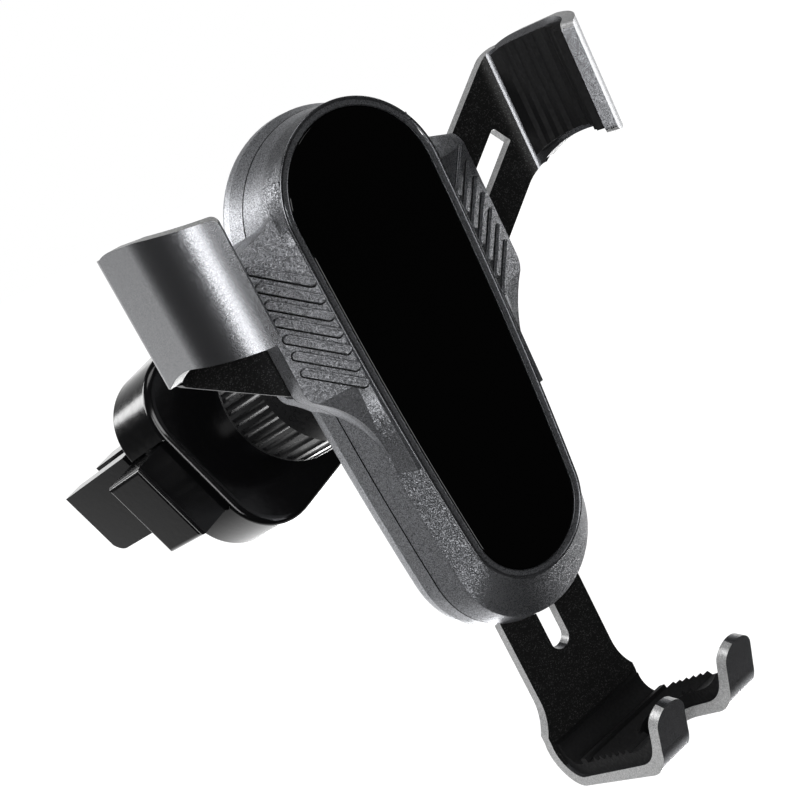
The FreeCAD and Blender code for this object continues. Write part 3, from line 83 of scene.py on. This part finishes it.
# The plates lie behind this depth, and their claws and hooks in front of it
PLATE_DEPTH = 6.0 * MM
PLATE_FLAKE = 0.15 * MM


def linear(code):
    """An sRGB hex colour as linear red, green, blue and alpha."""
    parts = [int(code[i:i + 2], 16) / 255 for i in (0, 2, 4)]
    return tuple(p / 12.92 if p <= 0.04045 else ((p + 0.055) / 1.055) ** 2.4
                 for p in parts) + (1.0,)


class HolderSizes(bpy.types.PropertyGroup):
    """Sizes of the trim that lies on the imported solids, and of the finishes' patterns."""

    edge_width: FloatProperty(
        name="Rim edge", description="Width of the smooth edge around the panel",
        default=0.56 * MM, min=0.1 * MM, max=1.0 * MM, subtype="DISTANCE", unit="LENGTH")
    edge_proud: FloatProperty(
        name="Edge height", description="How far the smooth edge stands proud of the rim",
        default=0.26 * MM, min=0.02 * MM, max=0.5 * MM, subtype="DISTANCE", unit="LENGTH")
    cap_half: FloatProperty(
        name="Bar half width", description="Half width of the rounded bars on the wings",
        default=0.66 * MM, min=0.55 * MM, max=1.0 * MM, subtype="DISTANCE", unit="LENGTH")
    cap_high: FloatProperty(
        name="Bar height", description="Height of the rounded bars above the wing's face",
        default=0.7 * MM, min=0.62 * MM, max=1.0 * MM, subtype="DISTANCE", unit="LENGTH")
    # The width of the painted shadow bands at the foot of the wings' bars
    shadow_band_width: FloatProperty(
        name="Groove", description="Width of the groove at the foot of the wings' bars",
        default=0.16 * MM, min=0.05 * MM, max=0.5 * MM, subtype="DISTANCE", unit="LENGTH")
    flake: FloatProperty(
        name="Paint flake", description="Size of the metal flakes in the shells' paint",
        default=0.13 * MM, min=0.05 * MM, max=1.0 * MM, subtype="DISTANCE", unit="LENGTH")
    peel: FloatProperty(
        name="Moulded skin", description="Spacing of the faint waves in moulded plastic",
        default=1.4 * MM, min=0.2 * MM, max=5.0 * MM, subtype="DISTANCE", unit="LENGTH")


class HolderColours(bpy.types.PropertyGroup):
    """Colours of the finishes."""

    paint: FloatVectorProperty(
        name="Shell paint", description="Gunmetal paint of the shells", subtype="COLOR",
        size=4, default=linear("77787b"), min=0.0, max=1.0)
    coating: FloatVectorProperty(
        name="Plate coating", description="Satin coating of the claws' and hooks' outsides",
        subtype="COLOR", size=4, default=linear("8b8c8f"), min=0.0, max=1.0)
    gloss: FloatVectorProperty(
        name="Gloss black", description="Gloss black plastic of the vent clip",
        subtype="COLOR", size=4, default=linear("0c0c0d"), min=0.0, max=1.0)
    satin: FloatVectorProperty(
        name="Satin black", description="Satin black plastic of the lock nut",
        subtype="COLOR", size=4, default=linear("141415"), min=0.0, max=1.0)
    silicone: FloatVectorProperty(
        name="Silicone", description="Matte black silicone of the pads", subtype="COLOR",
        size=4, default=linear("101011"), min=0.0, max=1.0)


# Finishes

def add(tree, kind, inputs=None, **values):
    """Add a shader node with its settings, its unlinked values and its links."""
    node = tree.nodes.new(kind)
    for key, value in values.items():
        setattr(node, key, value)
    for key, value in (inputs or {}).items():
        if isinstance(value, bpy.types.NodeSocket):
            tree.links.new(value, node.inputs[key])
        else:
            node.inputs[key].default_value = value
    return node


def start_material(name):
    """An empty node material and its output."""
    material = bpy.data.materials.new(name)
    material.use_nodes = True
    tree = material.node_tree
    tree.nodes.clear()
    return material, tree, add(tree, "ShaderNodeOutputMaterial")


def waves(tree, spacing, low, high, detail=2.0):
    """Noise with features of the given spacing, and the roughness low to high that it gives."""
    place = add(tree, "ShaderNodeTexCoord")
    noise = add(tree, "ShaderNodeTexNoise", {
        "Vector": place.outputs["Object"], "Scale": 1.0 / spacing, "Detail": detail})
    gloss = add(tree, "ShaderNodeMapRange", {
        "Value": noise.outputs["Fac"], "From Min": 0.3, "From Max": 0.7,
        "To Min": low, "To Max": high})
    return noise.outputs["Fac"], gloss.outputs["Result"]


def flakes(tree, spacing, lean):
    """Metal flakes in the object's own coordinates: each cell has its own shade, and its
    own lean away from the surface. Returns the shade and the leaning normal."""
    place = add(tree, "ShaderNodeTexCoord")
    cells = add(tree, "ShaderNodeTexVoronoi", {
        "Vector": place.outputs["Object"], "Scale": 1.0 / spacing})
    split = add(tree, "ShaderNodeSeparateColor", {"Color": cells.outputs["Color"]})
    offset = add(tree, "ShaderNodeVectorMath", {
        0: cells.outputs["Color"], 1: (0.5, 0.5, 0.5)}, operation="SUBTRACT")
    push = add(tree, "ShaderNodeVectorMath", {
        0: offset.outputs["Vector"], "Scale": lean}, operation="SCALE")
    shape = add(tree, "ShaderNodeNewGeometry")
    tipped = add(tree, "ShaderNodeVectorMath", {
        0: shape.outputs["Normal"], 1: push.outputs["Vector"]})
    normal = add(tree, "ShaderNodeVectorMath", {
        0: tipped.outputs["Vector"]}, operation="NORMALIZE")
    return split.outputs["Red"], normal.outputs["Vector"]


def flake_paint(name, colour, spacing):
    """Metallic flake paint, sprayed on moulded plastic: single flakes catch the light above
    a darker ground, so it looks grainy and grey. On the side walls the flakes lie flatter,
    which makes the walls even, and the walls are painted lighter than the front: a painted
    highlight for the light that falls on them. The joint between the shells is dark. Real
    flakes are about 0.03 mm, too fine to show, so they are drawn four times as coarse."""
    material, tree, out = start_material(name)
    place = add(tree, "ShaderNodeTexCoord")
    spot = add(tree, "ShaderNodeSeparateXYZ", {"Vector": place.outputs["Object"]})
    depth = spot.outputs["Y"]
    lean = add(tree, "ShaderNodeMapRange", {
        "Value": depth, "From Min": SIDE_STARTS, "From Max": SIDE_FULL,
        "To Min": 0.32, "To Max": 0.08})
    shade, normal = flakes(tree, spacing, lean.outputs["Result"])
    bright = add(tree, "ShaderNodeMapRange", {"Value": shade, "To Min": 0.42, "To Max": 1.7})
    # Painted highlight: the side walls are painted lighter than the front, 2.1 against 1.25
    side = add(tree, "ShaderNodeMapRange", {
        "Value": depth, "From Min": SIDE_STARTS, "From Max": SIDE_FULL,
        "To Min": 1.25, "To Max": 2.1})
    level = add(tree, "ShaderNodeMath", {
        0: bright.outputs["Result"], 1: side.outputs["Result"]}, operation="MULTIPLY")
    tint = add(tree, "ShaderNodeMix", {
        "Factor": 1.0, "A": colour, "B": level.outputs[0]}, data_type="RGBA",
        blend_type="MULTIPLY")
    joint = add(tree, "ShaderNodeMath", {
        0: depth, 1: SHELL_JOINT, 2: JOINT_HALF}, operation="COMPARE")
    body = add(tree, "ShaderNodeMix", {
        "Factor": joint.outputs[0], "A": tint.outputs["Result"], "B": linear("0c0c0c")},
        data_type="RGBA")
    skin = add(tree, "ShaderNodeBsdfPrincipled", {
        "Base Color": body.outputs["Result"], "Metallic": 0.85, "Roughness": 0.4,
        "Normal": normal})
    tree.links.new(skin.outputs["BSDF"], out.inputs["Surface"])
    return material


def coated_plate(name, coating, cut_axis):
    """Stamped aluminium with a satin metallic coating, which mirrors the room in soft
    bands. The plates' flat fronts are coated black with sparse metal flakes that sparkle,
    and the cut edges, which face the cut axis, are bare, light and grainy."""
    material, tree, out = start_material(name)
    shape = add(tree, "ShaderNodeNewGeometry")
    facing = add(tree, "ShaderNodeSeparateXYZ", {"Vector": shape.outputs["True Normal"]})
    place = add(tree, "ShaderNodeTexCoord")
    spot = add(tree, "ShaderNodeSeparateXYZ", {"Vector": place.outputs["Object"]})
    front = add(tree, "ShaderNodeMath", {0: facing.outputs["Y"], 1: -0.7}, operation="LESS_THAN")
    behind = add(tree, "ShaderNodeMath", {
        0: spot.outputs["Y"], 1: PLATE_DEPTH}, operation="GREATER_THAN")
    both = add(tree, "ShaderNodeMath", {
        0: front.outputs[0], 1: behind.outputs[0]}, operation="MULTIPLY")
    size = add(tree, "ShaderNodeMath", {0: facing.outputs[cut_axis]}, operation="ABSOLUTE")
    cut = add(tree, "ShaderNodeMath", {0: size.outputs[0], 1: 0.3}, operation="GREATER_THAN")
    shade, normal = flakes(tree, PLATE_FLAKE, 0.045)
    bright = add(tree, "ShaderNodeMapRange", {"Value": shade, "To Min": 0.88, "To Max": 1.12})
    tint = add(tree, "ShaderNodeMix", {
        "Factor": 1.0, "A": coating, "B": bright.outputs["Result"]}, data_type="RGBA",
        blend_type="MULTIPLY")
    metal = add(tree, "ShaderNodeBsdfPrincipled", {
        "Base Color": tint.outputs["Result"], "Metallic": 0.95, "Roughness": 0.27,
        "Normal": normal})
    grain = add(tree, "ShaderNodeMapRange", {"Value": shade, "To Min": 0.28, "To Max": 0.6})
    bare = add(tree, "ShaderNodeBsdfPrincipled", {
        "Base Color": grain.outputs["Result"], "Metallic": 0.35, "Roughness": 0.4})
    spark = add(tree, "ShaderNodeMapRange", {
        "Value": shade, "From Min": 0.82, "To Min": 0.012, "To Max": 0.09})
    dark = add(tree, "ShaderNodeBsdfPrincipled", {
        "Base Color": spark.outputs["Result"], "Metallic": 0.5, "Roughness": 0.45,
        "Normal": normal})
    edged = add(tree, "ShaderNodeMixShader", {
        0: cut.outputs[0], 1: metal.outputs["BSDF"], 2: bare.outputs["BSDF"]})
    mix = add(tree, "ShaderNodeMixShader", {
        0: both.outputs[0], 1: edged.outputs[0], 2: dark.outputs["BSDF"]})
    tree.links.new(mix.outputs[0], out.inputs["Surface"])
    return material


def moulded(name, colour, rough, spacing, wave, specular=0.5):
    """Moulded plastic or rubber: an even colour, with a faint waviness and soft changes of
    gloss that break up what it mirrors."""
    material, tree, out = start_material(name)
    height, gloss = waves(tree, spacing, rough * 0.85, rough * 1.15)
    bump = add(tree, "ShaderNodeBump", {
        "Height": height, "Strength": wave, "Distance": spacing * 0.05})
    skin = add(tree, "ShaderNodeBsdfPrincipled", {
        "Base Color": colour, "Roughness": gloss, "Specular IOR Level": specular,
        "Normal": bump.outputs["Normal"]})
    tree.links.new(skin.outputs["BSDF"], out.inputs["Surface"])
    return material


def bare_metal(name, colour, metallic, spacing, detail, low, high):
    """Metal or metallic paint rubbed smooth: mirrors the room, with fine changes of gloss
    from polishing."""
    material, tree, out = start_material(name)
    gloss = waves(tree, spacing, low, high, detail)[1]
    skin = add(tree, "ShaderNodeBsdfPrincipled", {
        "Base Color": colour, "Metallic": metallic, "Roughness": gloss})
    tree.links.new(skin.outputs["BSDF"], out.inputs["Surface"])
    return material


def dress(names, material):
    """Give CAD nodes one material."""
    for name in names:
        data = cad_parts[name].data
        data.materials.clear()
        data.materials.append(material)
        data.polygons.foreach_set("material_index", np.zeros(len(data.polygons), np.int32))


# Trim

def oval_outline(inset, steps):
    """The panel's outline as points in X, Z, moved in by the inset. Four arcs run into each
    other: a top and a bottom arc about centres on the vertical axis, and two long sides
    whose centres lie at the side radius less the end radius from both of those centres."""
    (top_z, top_r), (low_z, low_r) = PANEL_TOP, PANEL_LOW
    top_r, low_r, side = top_r - inset, low_r - inset, PANEL_SIDE
    mid_z = (top_z**2 - low_z**2 - (side - top_r) ** 2 + (side - low_r) ** 2) / (
        2 * (top_z - low_z))
    mid_x = math.sqrt((side - top_r) ** 2 - (top_z - mid_z) ** 2)
    lean_top = math.atan2(top_z - mid_z, mid_x)
    lean_low = math.atan2(low_z - mid_z, mid_x)
    top = np.linspace(lean_top, math.pi - lean_top, steps)
    low = np.linspace(math.pi - lean_low, 2 * math.pi + lean_low, steps)
    left = np.linspace(lean_top, lean_low, steps)[1:-1]
    parts = [
        np.c_[top_r * np.cos(top), top_z + top_r * np.sin(top)],
        np.c_[mid_x - side * np.cos(left), mid_z + side * np.sin(left)],
        np.c_[low_r * np.cos(low), low_z + low_r * np.sin(low)],
        np.c_[side * np.cos(left[::-1]) - mid_x, mid_z + side * np.sin(left[::-1])],
    ]
    return np.concatenate(parts) * MM


def grid_mesh(name, grids, closed=True, smooth=True):
    """One mesh from equal grids of points, each u across v. Closed grids join round in
    both directions."""
    count, count_u, count_v = grids.shape[:3]
    last = 0 if closed else 1
    base, a, b = np.meshgrid(np.arange(count), np.arange(count_u - last),
                             np.arange(count_v - last), indexing="ij")
    a2, b2 = (a + 1) % count_u, (b + 1) % count_v
    row = base * count_u * count_v
    quads = row[..., None] + np.stack([a * count_v + b, a2 * count_v + b, a2 * count_v + b2,
                                       a * count_v + b2], -1)
    mesh = bpy.data.meshes.new(name)
    mesh.from_pydata(grids.reshape(-1, 3).tolist(), [], quads.reshape(-1, 4).tolist())
    mesh.polygons.foreach_set("use_smooth", np.full(len(mesh.polygons), smooth))
    mesh.update()
    piece = bpy.data.objects.new(name, mesh)
    bpy.context.scene.collection.objects.link(piece)
    return piece


def panel_bead(name, inset, width, proud):
    """A smooth bead around the panel: its section is half an ellipse, of the given width
    and height, swept along the panel's outline moved in by the inset."""
    turns = np.linspace(0, 2 * math.pi, 16, endpoint=False)
    half = width / 2 / MM
    rings = np.stack([oval_outline(inset - half * math.cos(t), 64) for t in turns], 1)
    rise = np.sin(turns)
    lift = np.where(rise > 0, -proud * rise, -0.02 * MM * rise)
    depth = np.broadcast_to(lift, rings.shape[:2])
    return grid_mesh(name, np.stack([rings[..., 0], depth, rings[..., 1]], -1)[None])


def bar_rings(levels, drop):
    """Rings round every bar on both wings. A ring follows the bar's outline, two straight
    sides joined by half circles of the given radius, at a height above the wing's face,
    which falls back as it runs out from the rim. Levels are radius, height, and the rings
    lie lower by the drop."""
    turns = np.linspace(0, 2 * math.pi, 40, endpoint=False)
    stretch = math.hypot(1.0, WING_FALL)
    first = np.array([BAR_START[0] * stretch, BAR_START[1] - drop])
    run = np.array([BAR_RUN[0] * stretch, BAR_RUN[1]])
    along = run / np.linalg.norm(run)
    across = np.array([-along[1], along[0]])
    circle = np.outer(np.cos(turns), along) + np.outer(np.sin(turns), across)
    outer_end = np.where(np.cos(turns) > 0, 1.0, 0.0)
    radius, high = np.array(levels).T
    flat = first + np.outer(outer_end, run)[:, None] + circle[:, None] * radius[:, None]
    x = (flat[..., 0] - high * WING_FALL) / stretch
    depth = WING_ROOT[1] + (flat[..., 0] / stretch - WING_ROOT[0]) * WING_FALL - high / stretch
    lowest = np.stack([x, depth, flat[..., 1]], -1)
    steps = np.arange(BAR_COUNT)[:, None, None, None] * np.array([0.0, 0.0, BAR_STEP])
    right = lowest + steps
    left = (right * (-1.0, 1.0, 1.0))[:, ::-1]
    return np.concatenate([right, left]) * MM


def bar_caps(sizes):
    """Rounded crowns over the bars: across a bar the section is a superellipse of the
    fourth power, cap_half wide to each side and cap_high above the wing's face."""
    swing = np.linspace(0.0, math.pi / 2, 9)
    half, high = sizes.cap_half / MM, sizes.cap_high / MM
    levels = [(half * math.sqrt(max(math.cos(t), 0.0)) + 1e-4, high * math.sqrt(math.sin(t)))
              for t in swing]
    levels.append((1e-4, 0.0))
    return grid_mesh("bar_caps", bar_rings(levels, 0.0))


def bar_shadow_bands(sizes):
    """Painted shadow at the foot of the bars: dark bands, shadow_band_width wide, lowered so
    that the painted shadow is wider below the bars, where the shade falls, than above them.
    The section is a rectangle sunk in the wing."""
    outer = (sizes.cap_half + sizes.shadow_band_width) / MM
    inner = sizes.cap_half / MM - 0.2
    levels = [(outer, -0.1), (outer, 0.02), (inner, 0.03), (inner, -0.1)]
    return grid_mesh("bar_shadow_bands", bar_rings(levels, 0.1), smooth=False)


# Operators

class HOLDER_OT_shells(bpy.types.Operator):
    """Paint the two shells, round the bars on the wings, and lay painted shadow bands at their
    foot
    """
    bl_idname = "holder.shells"
    bl_label = "Shells"

    def execute(self, context):
        sizes = context.scene.holder_sizes
        paint = flake_paint("gunmetal_flake_paint", context.scene.holder_colours.paint,
                            sizes.flake)
        dress(SHELLS, paint)
        shadow_rings = bar_shadow_bands(sizes)
        # Painted shadow: the bands at the foot of the bars are a dark matt material
        shadow_rings.data.materials.append(
            moulded("groove_shadow", linear("111112"), 0.6, 0.4 * MM, 0.1, 0.2))
        caps = bar_caps(sizes)
        caps.data.materials.append(paint)
        for piece in (shadow_rings, caps):
            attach(piece, "holder")
        return {"FINISHED"}


class HOLDER_OT_panel(bpy.types.Operator):
    """Finish the glossy panel and lay the two smooth edges around it"""
    bl_idname = "holder.panel"
    bl_label = "Panel"

    def execute(self, context):
        # Cast acrylic, polished: deep black with a clear mirror
        dress(("front_panel",),
              moulded("polished_black_acrylic", linear("040404"), 0.04, 6 * MM, 0.02, 0.3))
        sizes = context.scene.holder_sizes
        crest = panel_bead("rim_crest", -1.2, sizes.edge_width, sizes.edge_proud)
        inner = panel_bead("rim_inner_edge", -0.1, 0.2 * MM, 0.05 * MM)
        # The shells' paint where the rim is rubbed smooth: a thin clear glint
        rim = bare_metal("painted_rim", context.scene.holder_colours.paint, 0.9,
                         0.8 * MM, 2.0, 0.22, 0.34)
        for piece in (crest, inner):
            piece.data.materials.append(rim)
            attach(piece, "holder")
        return {"FINISHED"}


class HOLDER_OT_plates(bpy.types.Operator):
    """Coat the arms and the foot"""
    bl_idname = "holder.plates"
    bl_label = "Arms and foot"

    def execute(self, context):
        coating = context.scene.holder_colours.coating
        dress(ARMS, coated_plate("satin_coated_arm", coating, "Z"))
        dress(("foot",), coated_plate("satin_coated_foot", coating, "X"))
        return {"FINISHED"}


class HOLDER_OT_pads(bpy.types.Operator):
    """Finish the silicone pads"""
    bl_idname = "holder.pads"
    bl_label = "Silicone pads"

    def execute(self, context):
        # Moulded silicone: matt and soft, hardly any highlight
        dress(SILICONE, moulded("moulded_silicone", context.scene.holder_colours.silicone,
                                0.72, 0.5 * MM, 0.25, 0.2))
        return {"FINISHED"}


class HOLDER_OT_clip(bpy.types.Operator):
    """Finish the clip, the lock nut and the friction ring"""
    bl_idname = "holder.clip"
    bl_label = "Clip and nut"

    def execute(self, context):
        colours = context.scene.holder_colours
        # ABS from a polished mould: near black, with sharp highlights that waver a little
        dress(CLIP, moulded("moulded_gloss_plastic", colours.gloss, 0.16,
                            context.scene.holder_sizes.peel, 0.15))
        # ABS from a satin mould: its ribs catch wide soft lights
        dress(("swivel_nut",), moulded("moulded_satin_plastic", colours.satin, 0.3,
                                       0.7 * MM, 0.1, 0.8))
        # Nylon: a dull dark grey
        dress(("friction_ring",), moulded("moulded_nylon", linear("1c1c1d"), 0.5,
                                          0.6 * MM, 0.2))
        return {"FINISHED"}


class HOLDER_OT_metal(bpy.types.Operator):
    """Finish the steel pieces inside"""
    bl_idname = "holder.metal"
    bl_label = "Steel pieces"

    def execute(self, context):
        # Turned or pressed steel, zinc plated: bright, with fine changes of gloss
        dress(STEEL, bare_metal("plated_steel", linear("b9babc"), 1.0, 0.3 * MM, 4.0,
                                0.2, 0.34))
        return {"FINISHED"}


# Stage

FLOOR_HEIGHT = -0.12
FLOOR_HALF = 4.0
# Lamps: name, place, width and height in metres, power in watts. All point at the origin.
LAMPS = (
    ("key_strip", (-0.575, -0.28, -0.05), (0.16, 0.8), 2.2),
    ("front_soft", (-0.45, -0.75, 0.3), (0.5, 0.5), 4.0),
    ("upper_left", (-0.42, 0.6, 0.32), (0.4, 0.3), 2.5),
    ("above", (-0.05, -0.1, 0.8), (0.5, 0.25), 1.2),
    ("lower_right", (0.25, 0.45, -0.5), (0.4, 0.3), 4.0),
    ("right_strip", (0.62, 0.12, 0.12), (0.2, 0.6), 1.3),
)
# The side of the room that shines in glossy surfaces: behind the holder and below it
BRIGHT_SIDE = (0.3, 0.8, -0.52)
CAMERA_PLACE = (-0.095598, -0.166503, 0.052942)
CAMERA_RIGHT = Vector((0.740962, -0.503633, -0.444217))
CAMERA_UP = Vector((0.50895, -0.010403, 0.860733))


def area_light(name, place, size, power):
    """A soft rectangular light that points at the origin."""
    data = bpy.data.lights.new(name, "AREA")
    data.shape = "RECTANGLE"
    data.size, data.size_y = size
    data.energy = power
    lamp = bpy.data.objects.new(name, data)
    lamp.location = place
    lamp.rotation_euler = (-Vector(place)).to_track_quat("-Z", "Y").to_euler()
    bpy.context.scene.collection.objects.link(lamp)


def pale_floor():
    """A floor that looks as white as the background and darkens only in shadow: a glow
    that reaches full white away from the holder, over a little matt grey."""
    corners = np.array([(x, y, FLOOR_HEIGHT) for x in (-FLOOR_HALF, FLOOR_HALF)
                        for y in (-FLOOR_HALF, FLOOR_HALF)]).reshape(1, 2, 2, 3)
    floor = grid_mesh("floor", corners, closed=False)
    material, tree, out = start_material("pale_floor")
    place = add(tree, "ShaderNodeTexCoord")
    reach = add(tree, "ShaderNodeVectorMath", {0: place.outputs["Object"]}, operation="LENGTH")
    level = add(tree, "ShaderNodeMapRange", {
        "Value": reach.outputs["Value"], "From Min": 0.25, "From Max": 0.8,
        "To Min": 0.93, "To Max": 1.0})
    glow = add(tree, "ShaderNodeEmission", {"Strength": level.outputs["Result"]})
    matt = add(tree, "ShaderNodeBsdfDiffuse", {"Color": (0.25, 0.25, 0.25, 1.0)})
    both = add(tree, "ShaderNodeAddShader", {0: glow.outputs[0], 1: matt.outputs[0]})
    tree.links.new(both.outputs[0], out.inputs["Surface"])
    floor.data.materials.append(material)
    floor.visible_glossy = False
    floor.visible_diffuse = False
    return floor


def studio_world():
    """A white background for the camera. Glossy surfaces see a room that is dark in front
    of the holder and bright on the bright side, and the rest of the light is soft grey."""
    world = bpy.data.worlds.new("studio")
    world.use_nodes = True
    tree = world.node_tree
    tree.nodes.clear()
    way = add(tree, "ShaderNodeLightPath")
    place = add(tree, "ShaderNodeTexCoord")
    toward = add(tree, "ShaderNodeVectorMath", {
        0: place.outputs["Generated"], 1: BRIGHT_SIDE}, operation="DOT_PRODUCT")
    behind = add(tree, "ShaderNodeMapRange", {
        "Value": toward.outputs["Value"], "From Min": 0.46, "From Max": 0.98,
        "To Min": 0.02, "To Max": 1.9})
    room = add(tree, "ShaderNodeBackground", {
        "Color": (0.95, 0.97, 1.0, 1.0), "Strength": 0.22})
    shine = add(tree, "ShaderNodeBackground", {"Strength": behind.outputs["Result"]})
    white = add(tree, "ShaderNodeBackground", {"Color": (1.0, 1.0, 1.0, 1.0), "Strength": 1.0})
    gloss = add(tree, "ShaderNodeMixShader", {
        0: way.outputs["Is Glossy Ray"], 1: room.outputs[0], 2: shine.outputs[0]})
    mix = add(tree, "ShaderNodeMixShader", {
        0: way.outputs["Is Camera Ray"], 1: gloss.outputs[0], 2: white.outputs[0]})
    out = add(tree, "ShaderNodeOutputWorld")
    tree.links.new(mix.outputs[0], out.inputs["Surface"])
    return world


class HOLDER_OT_stage(bpy.types.Operator):
    """Set up the floor, the lights, the world and the camera"""
    bl_idname = "holder.stage"
    bl_label = "Stage"

    def execute(self, context):
        scene = context.scene
        pale_floor()
        scene.world = studio_world()
        for lamp in LAMPS:
            area_light(*lamp)

        data = bpy.data.cameras.new("camera")
        data.sensor_width = 36.0
        data.lens = 56.652
        data.clip_start = 0.01
        eye = bpy.data.objects.new("camera", data)
        turn = Matrix((CAMERA_RIGHT, CAMERA_UP, CAMERA_RIGHT.cross(CAMERA_UP))).transposed()
        eye.matrix_world = Matrix.Translation(CAMERA_PLACE) @ turn.to_4x4()
        scene.collection.objects.link(eye)
        scene.camera = eye
        scene.view_settings.view_transform = "Standard"
        return {"FINISHED"}


class HOLDER_PT_panel(bpy.types.Panel):
    """Sizes, colours and steps of the holder"""
    bl_idname = "HOLDER_PT_panel"
    bl_label = "Vent phone holder"
    bl_space_type = "VIEW_3D"
    bl_region_type = "UI"
    bl_category = "Holder"

    def draw(self, context):
        layout = self.layout
        for group in (context.scene.holder_sizes, context.scene.holder_colours):
            for key in group.__annotations__:
                layout.prop(group, key)
        for step in STEPS:
            layout.operator(step.bl_idname)


STEPS = (HOLDER_OT_shells, HOLDER_OT_panel, HOLDER_OT_plates, HOLDER_OT_pads, HOLDER_OT_clip,
         HOLDER_OT_metal, HOLDER_OT_stage)
CLASSES = (HolderSizes, HolderColours) + STEPS + (HOLDER_PT_panel,)


def register():
    for item in CLASSES:
        bpy.utils.register_class(item)
    bpy.types.Scene.holder_sizes = PointerProperty(type=HolderSizes)
    bpy.types.Scene.holder_colours = PointerProperty(type=HolderColours)


def unregister():
    del bpy.types.Scene.holder_colours
    del bpy.types.Scene.holder_sizes
    for item in reversed(CLASSES):
        bpy.utils.unregister_class(item)


def main():
    register()
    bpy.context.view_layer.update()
    bpy.ops.holder.shells()
    bpy.ops.holder.panel()
    bpy.ops.holder.plates()
    bpy.ops.holder.pads()
    bpy.ops.holder.clip()
    bpy.ops.holder.metal()
    bpy.ops.holder.stage()


if __name__ == "__main__":
    main()
